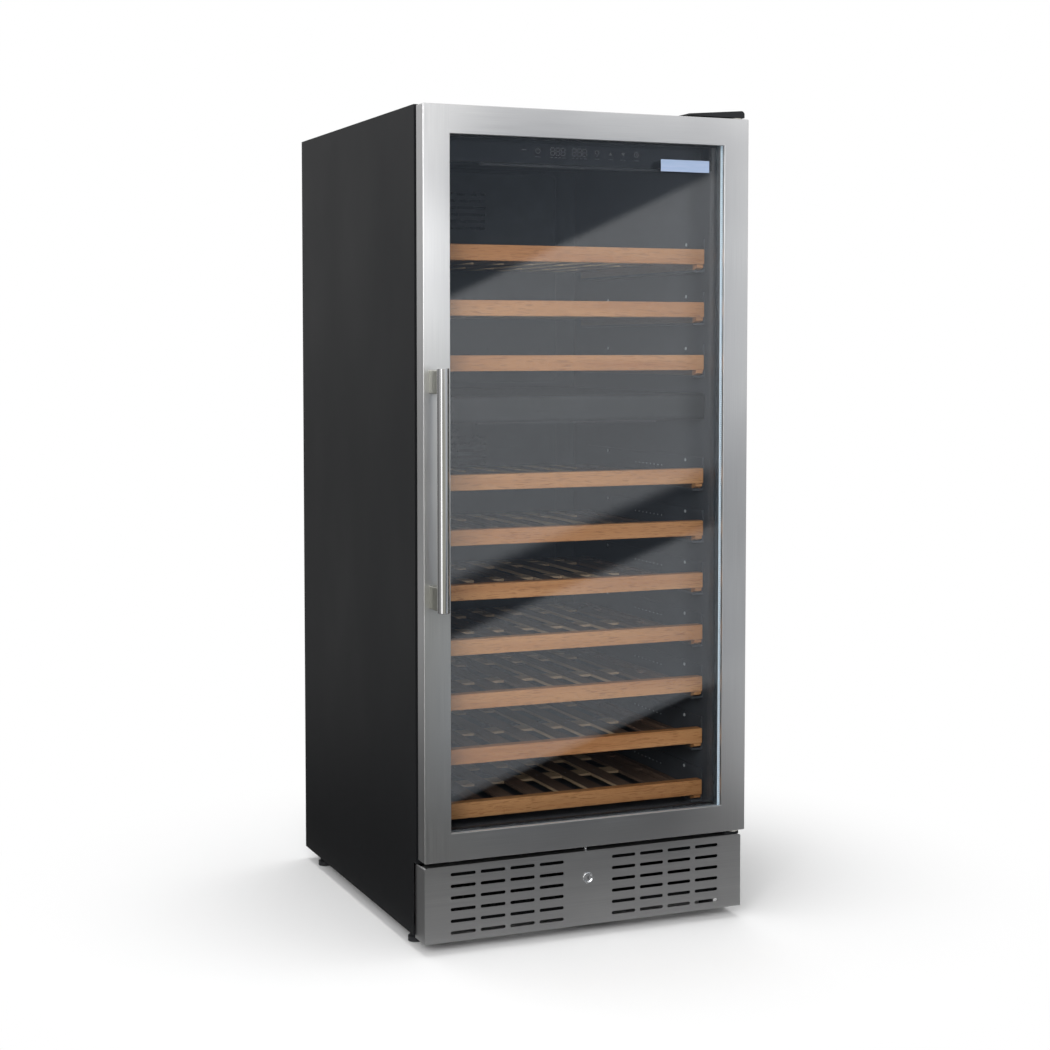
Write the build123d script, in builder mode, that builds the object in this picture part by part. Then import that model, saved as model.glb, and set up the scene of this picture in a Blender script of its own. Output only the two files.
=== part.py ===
from build123d import *
from math import cos, radians, sin
import os

os.makedirs("parts", exist_ok=True)

# Free-standing wine cooler with a glass door, in millimetres.
# +Z is up, the door faces -Y, +X is to the right, and the floor is at Z = 0.

# Cabinet
cabinet_width = 595
half_width = cabinet_width / 2
cabinet_top = 1392.5
cabinet_bottom = 24
cabinet_front = -273
cabinet_back = 365
sheet = 1.0
front_return = 26
rear_bead = 1.0
panel_inner = half_width - sheet
return_edge = half_width - front_return
shell_back = cabinet_back - rear_bead - sheet

# Kick grille
kick_front = -306.3
kick_back = -260.5
kick_bottom = 20
kick_top = 147
kick_half = 294.5
kick_sheet = 1.2
slot_length = 44.5
slot_height = 5.5
slot_pitch_x = 53.2
slot_pitch_z = 19.5
slot_group_x = 147
slot_group_z = 83.5

# Inside space
liner_wall = 2
cavity_half = 255.5
cavity_floor = 190
cavity_ceiling = 1350
cavity_back = 315
hump_front = 130
hump_top = 283
flange_bottom = 176
foam_front = cabinet_front + liner_wall
foam_bottom = 150
bay_front = 172
bay_top = 243
divider_bottom = 872
divider_top = 918
divider_front = -240

# Door
door_front = -315
door_bottom = 156.5
door_top = 1390
door_depth = 30
door_skin = 1.2
frame_face = 46.5
lip_depth = 6
pane = 4
pane_gap = 12
pane_edge = 11
spacer_width = 7
inner_frame_depth = 8
inner_frame_half = 280
inner_frame_cover = 12
gasket_outer = 279
gasket_width = 16
gasket_play = 0.3
opening_half = half_width - frame_face
opening_bottom = door_bottom + frame_face
opening_top = door_top - frame_face
door_back = door_front + door_depth
pane_front = door_front + lip_depth
glass_back = pane_front + 2 * pane + pane_gap
inner_frame_back = glass_back + inner_frame_depth

# Handle
handle_x = -278.6
handle_y = door_front - 40
handle_bottom = 573
handle_top = 966
handle_radius = 10
post_height = 38
post_inset = 3
post_width = 19

# Door hinges
hinge_x = 281.5
hinge_y = -300
pin_radius = 4
pin_play = 0.05
bush_radius = 6.5
bush_length = 22
bush_flange_radius = 9
bush_flange = 2
plate = 3
lower_plate_bottom = 148.5
lower_plate = 4

# Shelves, counted from the top
shelf_pitch = 92.2
upper_shelf_tops = [1170.4 - shelf_pitch * i for i in range(3)]
lower_shelf_tops = [787 - shelf_pitch * i for i in range(7)]
shelf_tops = upper_shelf_tops + lower_shelf_tops
shelf_half = 250
shelf_front = -245
shelf_back = 243
short_shelf_back = 118
board_height = 26.5
board_depth = 18
rail_width = 13
rail_top = 19
rail_bottom = 36
rail_nose = 8
slat_width = 30
slat_thickness = 5
slat_pitch = 57.5
slat_count = 8
cross_width = 36
cross_height = 4
cross_first = -38
cross_pitch = 188
lap_depth = 2
board_round = 1.5
runner_web = 2.5
runner_ledge = 3.7
runner_reach = 22
runner_play = 0.3
runner_rise = 18

# Cooling
duct_front = 257
duct_half = 190
duct_wall = 2
fan_size = 92
fan_depth = 25
shaft_radius = 2
upper_fan_z = 1262
lower_fan_z = 792
condenser_fan_size = 110
pipe_radius = 4
pipe_hole = 5
compressor_x = 70
compressor_y = 268
suction_x = 170
suction_z = 140
riser_x = -165
pipe_y = 279

# Lock in the kick grille
lock_z = 100.5
lock_radius = 9.5
barrel_radius = 8
barrel_back = -285
plug_radius = 5.5
crank_radius = 7.07
crank_pin = 2
crank_play = 0.35
bolt_y = -296
bolt_radius = 2.5
bolt_tip = 155
bolt_throw = 10

# Levelling feet
foot_x = 277
foot_front_y = -213
foot_rear_y = 303
foot_radius = 13
stem_radius = 4


def finish(piece, name):
    piece.part.label = name
    export_step(piece.part, f"parts/{name}.step")


def front_plane(y):
    # A plane that faces the door side, at depth y: local X is X and local Y is Z.
    return Plane.XZ.offset(-y)


def rect(x0, x1, z0, z1, mode=Mode.ADD):
    # A rectangle between two corners of the current sketch plane.
    with Locations(((x0 + x1) / 2, (z0 + z1) / 2)):
        Rectangle(x1 - x0, z1 - z0, mode=mode)


def outline(*points):
    # A closed outline through points given in the sketch plane's own coordinates.
    Polygon(*points, align=None)


# Side panels: a sheet with a turned-in front edge, cut back where the kick grille stands
for side, label in ((-1, "left_side_panel"), (1, "right_side_panel")):
    with BuildPart() as side_panel:
        with BuildSketch(Plane.YZ.offset(side * half_width)):
            outline(
                (kick_back, cabinet_bottom),
                (cabinet_back, cabinet_bottom),
                (cabinet_back, cabinet_top),
                (cabinet_front, cabinet_top),
                (cabinet_front, kick_top),
                (kick_back, kick_top),
            )
        extrude(amount=-side * sheet)
        with BuildSketch(Plane.XY.offset(kick_top)):
            rect(*sorted((side * return_edge, side * panel_inner)), cabinet_front, cabinet_front + sheet)
        extrude(amount=cabinet_top - sheet - kick_top)
    finish(side_panel, label)

# Top panel between the sides, turned down at the front
with BuildPart() as top_panel:
    with BuildSketch(Plane.YZ.offset(-panel_inner)):
        outline(
            (cabinet_front, cabinet_top - sheet),
            (shell_back + sheet, cabinet_top - sheet),
            (shell_back + sheet, cabinet_top),
            (cabinet_front, cabinet_top),
        )
    extrude(amount=2 * panel_inner)
    with BuildSketch(front_plane(cabinet_front)):
        rect(-return_edge, return_edge, cabinet_top - front_return, cabinet_top - sheet)
    extrude(amount=-sheet)
finish(top_panel, "top_panel")

# Back panel above the machine compartment, stiffened by pressed upright beads
bead_width = 14
bead_pitch = 165
bead_margin = 90
bead_count = 3
back_bottom = bay_top + liner_wall
back_height = cabinet_top - sheet - back_bottom
with BuildPart() as back_panel:
    with BuildSketch(front_plane(shell_back)):
        rect(-panel_inner, panel_inner, back_bottom, back_bottom + back_height)
    extrude(amount=-sheet)
    with BuildSketch(front_plane(shell_back + sheet)):
        with Locations((0, back_bottom + back_height / 2)):
            with GridLocations(bead_pitch, 0, bead_count, 1):
                SlotOverall(back_height - 2 * bead_margin, bead_width, rotation=90)
    extrude(amount=-rear_bead)
finish(back_panel, "back_panel")

# Base pan with an upstand all round and holes for the feet
pan_front = kick_back + 2.5
pan_sheet = 1.5
pan_rim = 18
with BuildPart() as base_pan:
    with BuildSketch(Plane.XY.offset(cabinet_bottom)):
        rect(-panel_inner, panel_inner, pan_front, shell_back)
    extrude(amount=pan_rim)
    with BuildSketch(Plane.XY.offset(cabinet_bottom + pan_sheet)):
        rect(
            -panel_inner + pan_sheet,
            panel_inner - pan_sheet,
            pan_front + pan_sheet,
            shell_back - pan_sheet,
        )
    extrude(amount=pan_rim, mode=Mode.SUBTRACT)
    with Locations((0, (foot_front_y + foot_rear_y) / 2, cabinet_bottom)):
        with GridLocations(2 * foot_x, foot_rear_y - foot_front_y, 2, 2):
            Cylinder(stem_radius + pin_play, pan_rim, mode=Mode.SUBTRACT)
finish(base_pan, "base_pan")

# Front rail: an angle across the cabinet below the inside space, which carries the lower hinge
rail_sheet = 1.5
rail_drop = 112
rail_shelf = 33
with BuildPart() as front_rail:
    with BuildSketch(Plane.YZ.offset(-return_edge)):
        outline(
            (cabinet_front, rail_drop),
            (cabinet_front + rail_shelf, rail_drop),
            (cabinet_front + rail_shelf, rail_drop + rail_sheet),
            (cabinet_front + rail_sheet, rail_drop + rail_sheet),
            (cabinet_front + rail_sheet, flange_bottom),
            (cabinet_front, flange_bottom),
        )
    extrude(amount=2 * return_edge)
finish(front_rail, "front_rail")


def cavity_outline(grow):
    # Side view of the inside space, stepped over the machine compartment, grown by a wall.
    outline(
        (cabinet_front, cavity_floor - grow),
        (hump_front + grow, cavity_floor - grow),
        (hump_front + grow, hump_top - grow),
        (cavity_back + grow, hump_top - grow),
        (cavity_back + grow, cavity_ceiling + grow),
        (cabinet_front, cavity_ceiling + grow),
    )


# Insulation: five foamed walls round the inside space, stepped up over the compressor
with BuildPart() as insulation_foam:
    with BuildSketch(Plane.YZ.offset(-panel_inner)):
        outline(
            (foam_front, foam_bottom),
            (bay_front, foam_bottom),
            (bay_front, bay_top),
            (shell_back, bay_top),
            (shell_back, cabinet_top - sheet),
            (foam_front, cabinet_top - sheet),
        )
    extrude(amount=2 * panel_inner)
    with BuildSketch(Plane.YZ.offset(-cavity_half - liner_wall)):
        cavity_outline(liner_wall)
    extrude(amount=2 * (cavity_half + liner_wall), mode=Mode.SUBTRACT)
    with Locations((suction_x, pipe_y, bay_top)):
        Cylinder(pipe_hole, 2 * (hump_top - bay_top), mode=Mode.SUBTRACT)
finish(insulation_foam, "insulation_foam")

# Inner liner: a thin moulded skin with a flange round its mouth
with BuildPart() as inner_liner:
    with BuildSketch(Plane.YZ.offset(-cavity_half - liner_wall)):
        cavity_outline(liner_wall)
    extrude(amount=2 * (cavity_half + liner_wall))
    with BuildSketch(front_plane(cabinet_front)):
        rect(-return_edge, return_edge, flange_bottom, cabinet_top - front_return)
    extrude(amount=-liner_wall)
    with BuildSketch(Plane.YZ.offset(-cavity_half)):
        cavity_outline(0)
    extrude(amount=2 * cavity_half, mode=Mode.SUBTRACT)
    with Locations((suction_x, pipe_y, hump_top)):
        Cylinder(pipe_hole, 6 * liner_wall, mode=Mode.SUBTRACT)
finish(inner_liner, "inner_liner")

# Divider between the two temperature zones, with a rounded nose
nose_radius = 8
with BuildPart() as zone_divider:
    with BuildSketch(Plane.YZ.offset(-cavity_half)):
        rect(divider_front, cavity_back, divider_bottom, divider_top)
    extrude(amount=2 * cavity_half)
    fillet(zone_divider.faces().sort_by(Axis.Y)[0].edges().filter_by(Axis.X), nose_radius)
    with Locations((riser_x, pipe_y, divider_bottom)):
        Cylinder(pipe_hole, 4 * (divider_top - divider_bottom), mode=Mode.SUBTRACT)
finish(zone_divider, "zone_divider")

# Duct covers on the rear wall: shells with return slots below and a fan outlet above
grille_slot = 6
grille_pitch = 13
outlet_rows = 6
outlet_length = 80
return_columns = 3
return_rows = 4
return_pitch = 110
return_length = 90
return_rise = 45
duct_corner = 12
duct_margin = 12
pipe_cut = 200
ducts = (
    ("upper_duct_cover", divider_top + duct_margin, cavity_ceiling - duct_margin, upper_fan_z),
    ("lower_duct_cover", hump_top + duct_margin, divider_bottom - duct_margin, lower_fan_z),
)
for label, low, high, fan_z in ducts:
    with BuildPart() as duct_cover:
        with BuildSketch(front_plane(cavity_back)):
            rect(-duct_half, duct_half, low, high)
        extrude(amount=cavity_back - duct_front)
        fillet(duct_cover.edges().filter_by(Axis.Y), duct_corner)
        chamfer(duct_cover.faces().sort_by(Axis.Y)[0].edges(), duct_wall)
        with BuildSketch(front_plane(cavity_back)):
            rect(-duct_half + duct_wall, duct_half - duct_wall, low + duct_wall, high - duct_wall)
            fillet(vertices(), duct_corner - duct_wall)
        extrude(amount=cavity_back - duct_front - duct_wall, mode=Mode.SUBTRACT)
        with BuildSketch(front_plane(duct_front + duct_wall)):
            with Locations((0, fan_z)):
                with GridLocations(0, grille_pitch, 1, outlet_rows):
                    SlotOverall(outlet_length, grille_slot)
            with Locations((0, low + return_rise)):
                with GridLocations(return_pitch, grille_pitch, return_columns, return_rows):
                    SlotOverall(return_length, grille_slot)
        extrude(amount=2 * duct_wall, mode=Mode.SUBTRACT)
        with Locations((suction_x, pipe_y, hump_top), (riser_x, pipe_y, divider_bottom)):
            Cylinder(pipe_hole, pipe_cut, mode=Mode.SUBTRACT)
    finish(duct_cover, label)


def tube_heights(low, high):
    # Heights of a fin block's tubes, evenly spaced.
    return [low + (row + 0.5) * (high - low) / tube_levels for row in range(tube_levels)]


def tube_rows(front, back):
    # Depths of a fin block's two rows of tubes.
    quarter = (back - front) / 4
    return front + quarter, back - quarter


def fin_block(left, right, front, back, low, high, fins):
    # Upright fins threaded on two rows of straight tubes.
    pitch = (right - left - fin) / (fins - 1)
    with Locations(((left + right) / 2, (front + back) / 2, (low + high) / 2)):
        with GridLocations(pitch, 0, fins, 1):
            Box(fin, back - front, high - low)
    for y in tube_rows(front, back):
        for z in tube_heights(low, high):
            with Locations(((left + right) / 2, y, z)):
                Cylinder(pipe_radius, right - left, rotation=(0, 90, 0))


# Evaporators behind the duct covers
fin = 2
tube_levels = 3
evaporator_fins = 14
evaporator_half = 130
evaporator_depth = 40
evaporator_rise = 110
upper_coil_height = 130
lower_coil_height = 180
evaporator_front = pipe_y - evaporator_depth / 4
evaporator_back = evaporator_front + evaporator_depth
upper_coil_bottom = divider_top + evaporator_rise
lower_coil_bottom = hump_top + evaporator_rise
upper_evaporator = (upper_coil_bottom, upper_coil_bottom + upper_coil_height)
lower_evaporator = (lower_coil_bottom, lower_coil_bottom + lower_coil_height)
with BuildPart() as evaporators:
    for low, high in (upper_evaporator, lower_evaporator):
        fin_block(
            -evaporator_half,
            evaporator_half,
            evaporator_front,
            evaporator_back,
            low,
            high,
            evaporator_fins,
        )
finish(evaporators, "evaporators")


def fan_frame(centre, size):
    # Square frame with a round bore, and a motor on four struts that carries the shaft.
    face = Plane(origin=centre, x_dir=(1, 0, 0), z_dir=(0, -1, 0))
    bore = size / 2 - fan_wall
    motor = size * motor_share
    motor_length = fan_depth * motor_depth_share
    with BuildPart() as frame:
        with BuildSketch(face):
            Rectangle(size, size)
            fillet(vertices(), fan_corner)
            Circle(bore, mode=Mode.SUBTRACT)
        extrude(amount=fan_depth)
        with BuildSketch(face):
            Circle(motor)
        extrude(amount=motor_length)
        with BuildSketch(face):
            with PolarLocations(bore / 2, strut_count, strut_turn):
                Rectangle(bore + fan_wall, strut_width)
        extrude(amount=strut_depth)
        with BuildSketch(face.offset(motor_length)):
            Circle(shaft_radius)
        extrude(amount=shaft_length)
    return frame


def fan_rotor(centre, size):
    # Hub with pitched blades that runs on the frame's shaft, in front of the motor.
    hub = size * hub_share
    root = hub - blade_sink
    span = size / 2 - tip_gap - root
    base = fan_depth * motor_depth_share + rotor_gap
    hub_length = fan_depth * hub_depth_share
    face = Plane(origin=centre, x_dir=(1, 0, 0), z_dir=(0, -1, 0))
    with BuildPart() as blade:
        with BuildSketch():
            Trapezoid(size * blade_share, span, blade_taper, rotation=90)
        extrude(amount=blade_thickness / 2, both=True)
    with BuildPart(face.offset(base + hub_length / 2)) as rotor:
        Cylinder(hub, hub_length)
        with PolarLocations(root + span / 2, blades):
            add(blade.part, rotation=(blade_pitch, 0, 0))
        with Locations((0, 0, -blade_thickness)):
            Cylinder(shaft_radius + pin_play, hub_length, mode=Mode.SUBTRACT)
    return rotor


# Fans: sizes that every fan shares, some as shares of the frame's side or depth
fan_wall = 2.5
fan_corner = 5
motor_share = 0.18
motor_depth_share = 0.4
strut_count = 4
strut_turn = 45
strut_width = 6
strut_depth = 3
shaft_length = 10
hub_share = 0.2
hub_depth_share = 0.45
rotor_gap = 1
tip_gap = 6
blades = 7
blade_pitch = 32
blade_share = 0.24
blade_taper = 82
blade_thickness = 2
blade_sink = 3

evaporator_fan_back = duct_front + duct_wall + fan_depth
upper_fan = (0, evaporator_fan_back, upper_fan_z)
lower_fan = (0, evaporator_fan_back, lower_fan_z)
upper_frame = fan_frame(upper_fan, fan_size)
lower_frame = fan_frame(lower_fan, fan_size)
with BuildPart() as evaporator_fan_frames:
    add([upper_frame.part, lower_frame.part])
finish(evaporator_fan_frames, "evaporator_fan_frames")

# Condenser fan, which stands on the base pan behind the condenser
condenser_left = -262
condenser_right = -20
condenser_fins = 16
condenser_front = -228
condenser_back = -172
condenser_fan_z = cabinet_bottom + pan_sheet + condenser_fan_size / 2
condenser_fan = ((condenser_left + condenser_right) / 2, condenser_back + fan_depth, condenser_fan_z)
finish(fan_frame(condenser_fan, condenser_fan_size), "condenser_fan_frame")

rotors = (
    ("upper_fan_rotor", upper_fan, fan_size),
    ("lower_fan_rotor", lower_fan, fan_size),
    ("condenser_fan_rotor", condenser_fan, condenser_fan_size),
)
for label, centre, size in rotors:
    finish(fan_rotor(centre, size), label)

# Condenser behind the kick grille
condenser_bottom = cabinet_bottom + pan_sheet
condenser_top = condenser_bottom + condenser_fan_size
with BuildPart() as condenser:
    fin_block(
        condenser_left,
        condenser_right,
        condenser_front,
        condenser_back,
        condenser_bottom,
        condenser_top,
        condenser_fins,
    )
finish(condenser, "condenser")

# Compressor: a welded shell on a foot plate with four rubber grommets
shell_radius = 72
shell_lift = 14
shell_shoulder = 78
shell_seam = 118
shell_top = 198
shell_flat = 40
low_bulge = 9
dome_bulge = 16
seam_lip = 4
foot_plate = 3
plate_margin = 15
plate_corner = 12
grommet_x = 58
grommet_y = 52
grommet_radius = 10
stub_radius = 5
delivery_offset = 40
delivery_inset = 5
shell_bottom = cabinet_bottom + pan_sheet + shell_lift
shell_edge = compressor_x + shell_radius
delivery_x = compressor_x - delivery_offset
delivery_z = tube_heights(condenser_bottom, condenser_top)[1]
delivery_start = compressor_y - shell_radius + delivery_inset
suction_start = shell_edge + seam_lip
with BuildPart() as compressor:
    with BuildSketch(front_plane(compressor_y)):
        with BuildLine():
            floor_line = Line((compressor_x, shell_bottom), (compressor_x + shell_flat, shell_bottom))
            low_curve = SagittaArc(floor_line @ 1, (shell_edge, shell_shoulder), -low_bulge)
            wall = Line(low_curve @ 1, (shell_edge, shell_seam - seam_lip))
            seam = Polyline(
                wall @ 1,
                (shell_edge + seam_lip, shell_seam - seam_lip),
                (shell_edge + seam_lip, shell_seam),
                (shell_edge, shell_seam),
            )
            dome = SagittaArc(seam @ 1, (compressor_x + shell_flat, shell_top), -dome_bulge)
            lid = Line(dome @ 1, (compressor_x, shell_top))
            Line(lid @ 1, floor_line @ 0)
        make_face()
    revolve(axis=Axis((compressor_x, compressor_y, 0), (0, 0, 1)))
    with BuildSketch(Plane.XY.offset(shell_bottom - foot_plate)):
        with Locations((compressor_x, compressor_y)):
            RectangleRounded(2 * (grommet_x + plate_margin), 2 * (grommet_y + plate_margin), plate_corner)
    extrude(amount=foot_plate)
    with BuildSketch(front_plane(compressor_y)):
        with Locations((delivery_x, delivery_z)):
            Circle(stub_radius)
    extrude(amount=compressor_y - delivery_start)
    with BuildSketch(Plane.YZ.offset(compressor_x)):
        with Locations((pipe_y, suction_z)):
            Circle(stub_radius)
    extrude(amount=suction_start - compressor_x)
finish(compressor, "compressor")

with BuildPart() as compressor_grommets:
    with BuildSketch(Plane.XY.offset(cabinet_bottom + pan_sheet)):
        with Locations((compressor_x, compressor_y)):
            with GridLocations(2 * grommet_x, 2 * grommet_y, 2, 2):
                Circle(grommet_radius)
    extrude(amount=shell_bottom - foot_plate - cabinet_bottom - pan_sheet)
finish(compressor_grommets, "compressor_grommets")

# Drip tray that rests on the compressor's warm lid
tray_half = 58
tray_height = 24
tray_wall = 2
tray_corner = 10
tray_draft = 6
with BuildPart() as drip_tray:
    with BuildSketch(Plane.XY.offset(shell_top)):
        with Locations((compressor_x, compressor_y)):
            RectangleRounded(2 * tray_half, 2 * tray_half, tray_corner)
    extrude(amount=tray_height, taper=-tray_draft)
    with BuildSketch(Plane.XY.offset(shell_top + tray_wall)):
        with Locations((compressor_x, compressor_y)):
            inside = 2 * (tray_half - tray_wall)
            RectangleRounded(inside, inside, tray_corner - tray_wall)
    extrude(amount=tray_height, taper=-tray_draft, mode=Mode.SUBTRACT)
finish(drip_tray, "drip_tray")


def pipe(*points):
    # A copper tube along straight runs with rounded corners.
    with BuildPart() as tube:
        with BuildLine() as run:
            FilletPolyline(*points, radius=pipe_bend)
        with BuildSketch(Plane(origin=run.line @ 0, z_dir=run.line % 0)):
            Circle(pipe_radius)
        sweep(path=run.line)
    return tube.part


# Refrigerant pipes: delivery to the condenser, suction through the foam, and the riser between zones
pipe_bend = 14
lower_tube_z = tube_heights(*lower_evaporator)
upper_tube_z = tube_heights(*upper_evaporator)
delivery_y = tube_rows(condenser_front, condenser_back)[1]
delivery_pipe = pipe(
    (delivery_x, delivery_start, delivery_z),
    (delivery_x, delivery_y, delivery_z),
    (condenser_right, delivery_y, delivery_z),
)
suction_pipe = pipe(
    (suction_start, pipe_y, suction_z),
    (suction_x, pipe_y, suction_z),
    (suction_x, pipe_y, lower_tube_z[0]),
    (evaporator_half, pipe_y, lower_tube_z[0]),
)
riser_pipe = pipe(
    (-evaporator_half, pipe_y, lower_tube_z[-1]),
    (riser_x, pipe_y, lower_tube_z[-1]),
    (riser_x, pipe_y, upper_tube_z[0]),
    (-evaporator_half, pipe_y, upper_tube_z[0]),
)
with BuildPart() as refrigerant_pipes:
    add([delivery_pipe, suction_pipe, riser_pipe])
finish(refrigerant_pipes, "refrigerant_pipes")

# Control box in the machine compartment, with the rim of its lid
box_x = -180
box_y = 275
box_width = 140
box_depth = 120
box_height = 90
box_corner = 6
lid_round = 4
lid_rim = 2
lid_level = 70
lid_edge = 4
with BuildPart() as control_box:
    with BuildSketch(Plane.XY.offset(cabinet_bottom + pan_sheet)):
        with Locations((box_x, box_y)):
            RectangleRounded(box_width, box_depth, box_corner)
    extrude(amount=box_height)
    fillet(control_box.faces().sort_by(Axis.Z)[-1].edges(), lid_round)
    with BuildSketch(Plane.XY.offset(cabinet_bottom + pan_sheet + lid_level)):
        with Locations((box_x, box_y)):
            RectangleRounded(box_width + 2 * lid_rim, box_depth + 2 * lid_rim, box_corner + lid_rim)
    extrude(amount=lid_edge)
finish(control_box, "control_box")

# Control strip: a housing under the ceiling whose flat front carries the touch keys and displays
strip_front = -260
strip_back = -188
strip_bottom = 1305
strip_lip = 10
strip_round = 2
with BuildPart() as control_panel:
    with BuildSketch(Plane.YZ.offset(-cavity_half)):
        outline(
            (strip_front, strip_bottom),
            (strip_front + 4 * strip_lip, strip_bottom),
            (strip_back, strip_bottom + 2 * strip_lip),
            (strip_back, cavity_ceiling),
            (strip_front, cavity_ceiling),
        )
    extrude(amount=2 * cavity_half)
    fillet(control_panel.edges().filter_by(Axis.X).group_by(Axis.Z)[0].sort_by(Axis.Y)[0], strip_round)
finish(control_panel, "control_panel")

# Light strips under the control strip and under the divider
light_half = 170
light_depth = 14
light_height = 3
light_corner = 4
light_draft = 15
light_front = -243
divider_light_front = -224
with BuildPart() as light_strips:
    for front, top in ((light_front, strip_bottom), (divider_light_front, divider_bottom)):
        with BuildSketch(Plane.XY.offset(top)):
            with Locations((0, front + light_depth / 2)):
                RectangleRounded(2 * light_half, light_depth, light_corner)
        extrude(amount=-light_height, taper=light_draft)
finish(light_strips, "light_strips")


def rear_end(index):
    # The lowest shelf is shorter, because the machine compartment steps into its space.
    return short_shelf_back if index == len(shelf_tops) - 1 else shelf_back


# Shelf runners: an angle on each wall for every shelf
with BuildPart() as shelf_runners:
    for index, top in enumerate(shelf_tops):
        ledge_top = top - rail_bottom - runner_play
        for side in (-1, 1):
            with BuildSketch(front_plane(shelf_front + rail_nose)):
                outline(
                    (side * cavity_half, ledge_top - runner_ledge),
                    (side * (cavity_half - runner_reach), ledge_top - runner_ledge),
                    (side * (cavity_half - runner_reach), ledge_top),
                    (side * (cavity_half - runner_web), ledge_top),
                    (side * (cavity_half - runner_web), top + runner_rise),
                    (side * cavity_half, top + runner_rise),
                )
            extrude(amount=shelf_front + rail_nose - rear_end(index))
finish(shelf_runners, "shelf_runners")

# Kick grille: a folded sheet with two groups of slots, a lock hole and a slot for the bolt
kick_return = 20
kick_corner = 4
slot_columns = 4
slot_rows = 6
bolt_clearance = 1
kick_depth = kick_back - kick_front
with BuildPart() as kick_grille:
    with BuildSketch(front_plane(kick_back)):
        rect(-kick_half, kick_half, kick_bottom, kick_top)
        fillet(vertices().group_by(Axis.Y)[-1], kick_corner)
    extrude(amount=kick_depth)
    with BuildSketch(front_plane(kick_back)):
        rect(
            -kick_half + kick_sheet,
            kick_half - kick_sheet,
            kick_bottom + kick_sheet,
            kick_top - kick_sheet,
        )
        fillet(vertices().group_by(Axis.Y)[-1], kick_corner - kick_sheet)
    extrude(amount=kick_depth - kick_sheet, mode=Mode.SUBTRACT)
    with BuildSketch(front_plane(kick_back)):
        rect(-kick_half + kick_sheet, kick_half - kick_sheet, kick_bottom - kick_sheet, kick_top + kick_sheet)
    extrude(amount=kick_depth - kick_return, mode=Mode.SUBTRACT)
    with BuildSketch(front_plane(kick_front + kick_sheet)):
        for side in (-1, 1):
            with Locations((side * slot_group_x, slot_group_z)):
                with GridLocations(slot_pitch_x, slot_pitch_z, slot_columns, slot_rows):
                    SlotOverall(slot_length, slot_height)
        with Locations((0, lock_z)):
            Circle(barrel_radius)
    extrude(amount=2 * kick_sheet, mode=Mode.SUBTRACT)
    with BuildSketch(Plane.XY.offset(kick_top)):
        with Locations((0, bolt_y)):
            Circle(bolt_radius + bolt_clearance)
    extrude(amount=-2 * kick_sheet, mode=Mode.SUBTRACT)
finish(kick_grille, "kick_grille")

# Lock housing: a barrel with a dished rim on the sheet, and a guide for the bolt under the grille's top
rim_depth = 2.4
rim_round = 1.2
rim_dish = 1.8
guide_top = 140
guide_bottom = 132
guide_half = 9
guide_back = -288
sheet_back = kick_front + kick_sheet
with BuildPart() as lock_housing:
    with BuildSketch(front_plane(kick_front)):
        with Locations((0, lock_z)):
            Circle(lock_radius)
    extrude(amount=rim_depth)
    fillet(lock_housing.faces().sort_by(Axis.Y)[0].edges(), rim_round)
    with BuildSketch(front_plane(barrel_back)):
        with Locations((0, lock_z)):
            Circle(barrel_radius)
    extrude(amount=barrel_back - kick_front)
    with BuildSketch(front_plane(barrel_back)):
        with Locations((0, lock_z)):
            Circle(plug_radius + pin_play)
    extrude(amount=barrel_back - kick_front + rim_depth, mode=Mode.SUBTRACT)
    chamfer(lock_housing.faces().sort_by(Axis.Y)[0].inner_wires()[0].edges(), rim_dish)
    with BuildSketch(Plane.XY.offset(guide_bottom)):
        rect(-guide_half, guide_half, sheet_back, guide_back)
        with Locations((0, bolt_y)):
            Circle(bolt_radius + pin_play, mode=Mode.SUBTRACT)
    extrude(amount=guide_top - guide_bottom)
finish(lock_housing, "lock_housing")

# Lock plug with a keyway; its tail carries the cam
keyway_width = 1.6
keyway_height = 6
keyway_depth = 8
tail_radius = 3
plug_recess = 2
cam_gap = 0.4
cam_thickness = 2.5
cam_front = barrel_back + cam_gap
cam_back = cam_front + cam_thickness
with BuildPart() as lock_plug:
    with BuildSketch(front_plane(barrel_back)):
        with Locations((0, lock_z)):
            Circle(plug_radius)
    extrude(amount=barrel_back - kick_front + rim_depth - plug_recess)
    with BuildSketch(front_plane(barrel_back)):
        with Locations((0, lock_z)):
            Circle(tail_radius)
    extrude(amount=barrel_back - cam_back)
    plug_face = lock_plug.faces().sort_by(Axis.Y)[0]
    with BuildSketch(front_plane(plug_face.center().Y + keyway_depth)):
        with Locations((0, lock_z)):
            Rectangle(keyway_width, keyway_height)
    extrude(amount=keyway_depth, mode=Mode.SUBTRACT)
finish(lock_plug, "lock_plug")

# Lock cam: a crank arm on the plug's tail, whose pin works in the bolt's cross slot
crank_rest = -45
cam_boss = 5
cam_eye = 3.2
yoke_gap = 0.5
yoke_thickness = 3
pin_x = crank_radius * cos(radians(crank_rest))
pin_z = lock_z + crank_radius * sin(radians(crank_rest))
yoke_front = cam_back + yoke_gap
with BuildPart() as lock_cam:
    with BuildSketch(front_plane(cam_back)):
        with Locations((0, lock_z)):
            Circle(cam_boss)
        with Locations((pin_x, pin_z)):
            Circle(cam_eye)
        with Locations((pin_x / 2, (lock_z + pin_z) / 2)):
            Rectangle(crank_radius, 2 * cam_eye, rotation=crank_rest)
        with Locations((0, lock_z)):
            Circle(tail_radius, mode=Mode.SUBTRACT)
    extrude(amount=cam_thickness)
    with BuildSketch(front_plane(cam_back)):
        with Locations((pin_x, pin_z)):
            Circle(crank_pin)
    extrude(amount=-(yoke_gap + yoke_thickness))
finish(lock_cam, "lock_cam")

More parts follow.
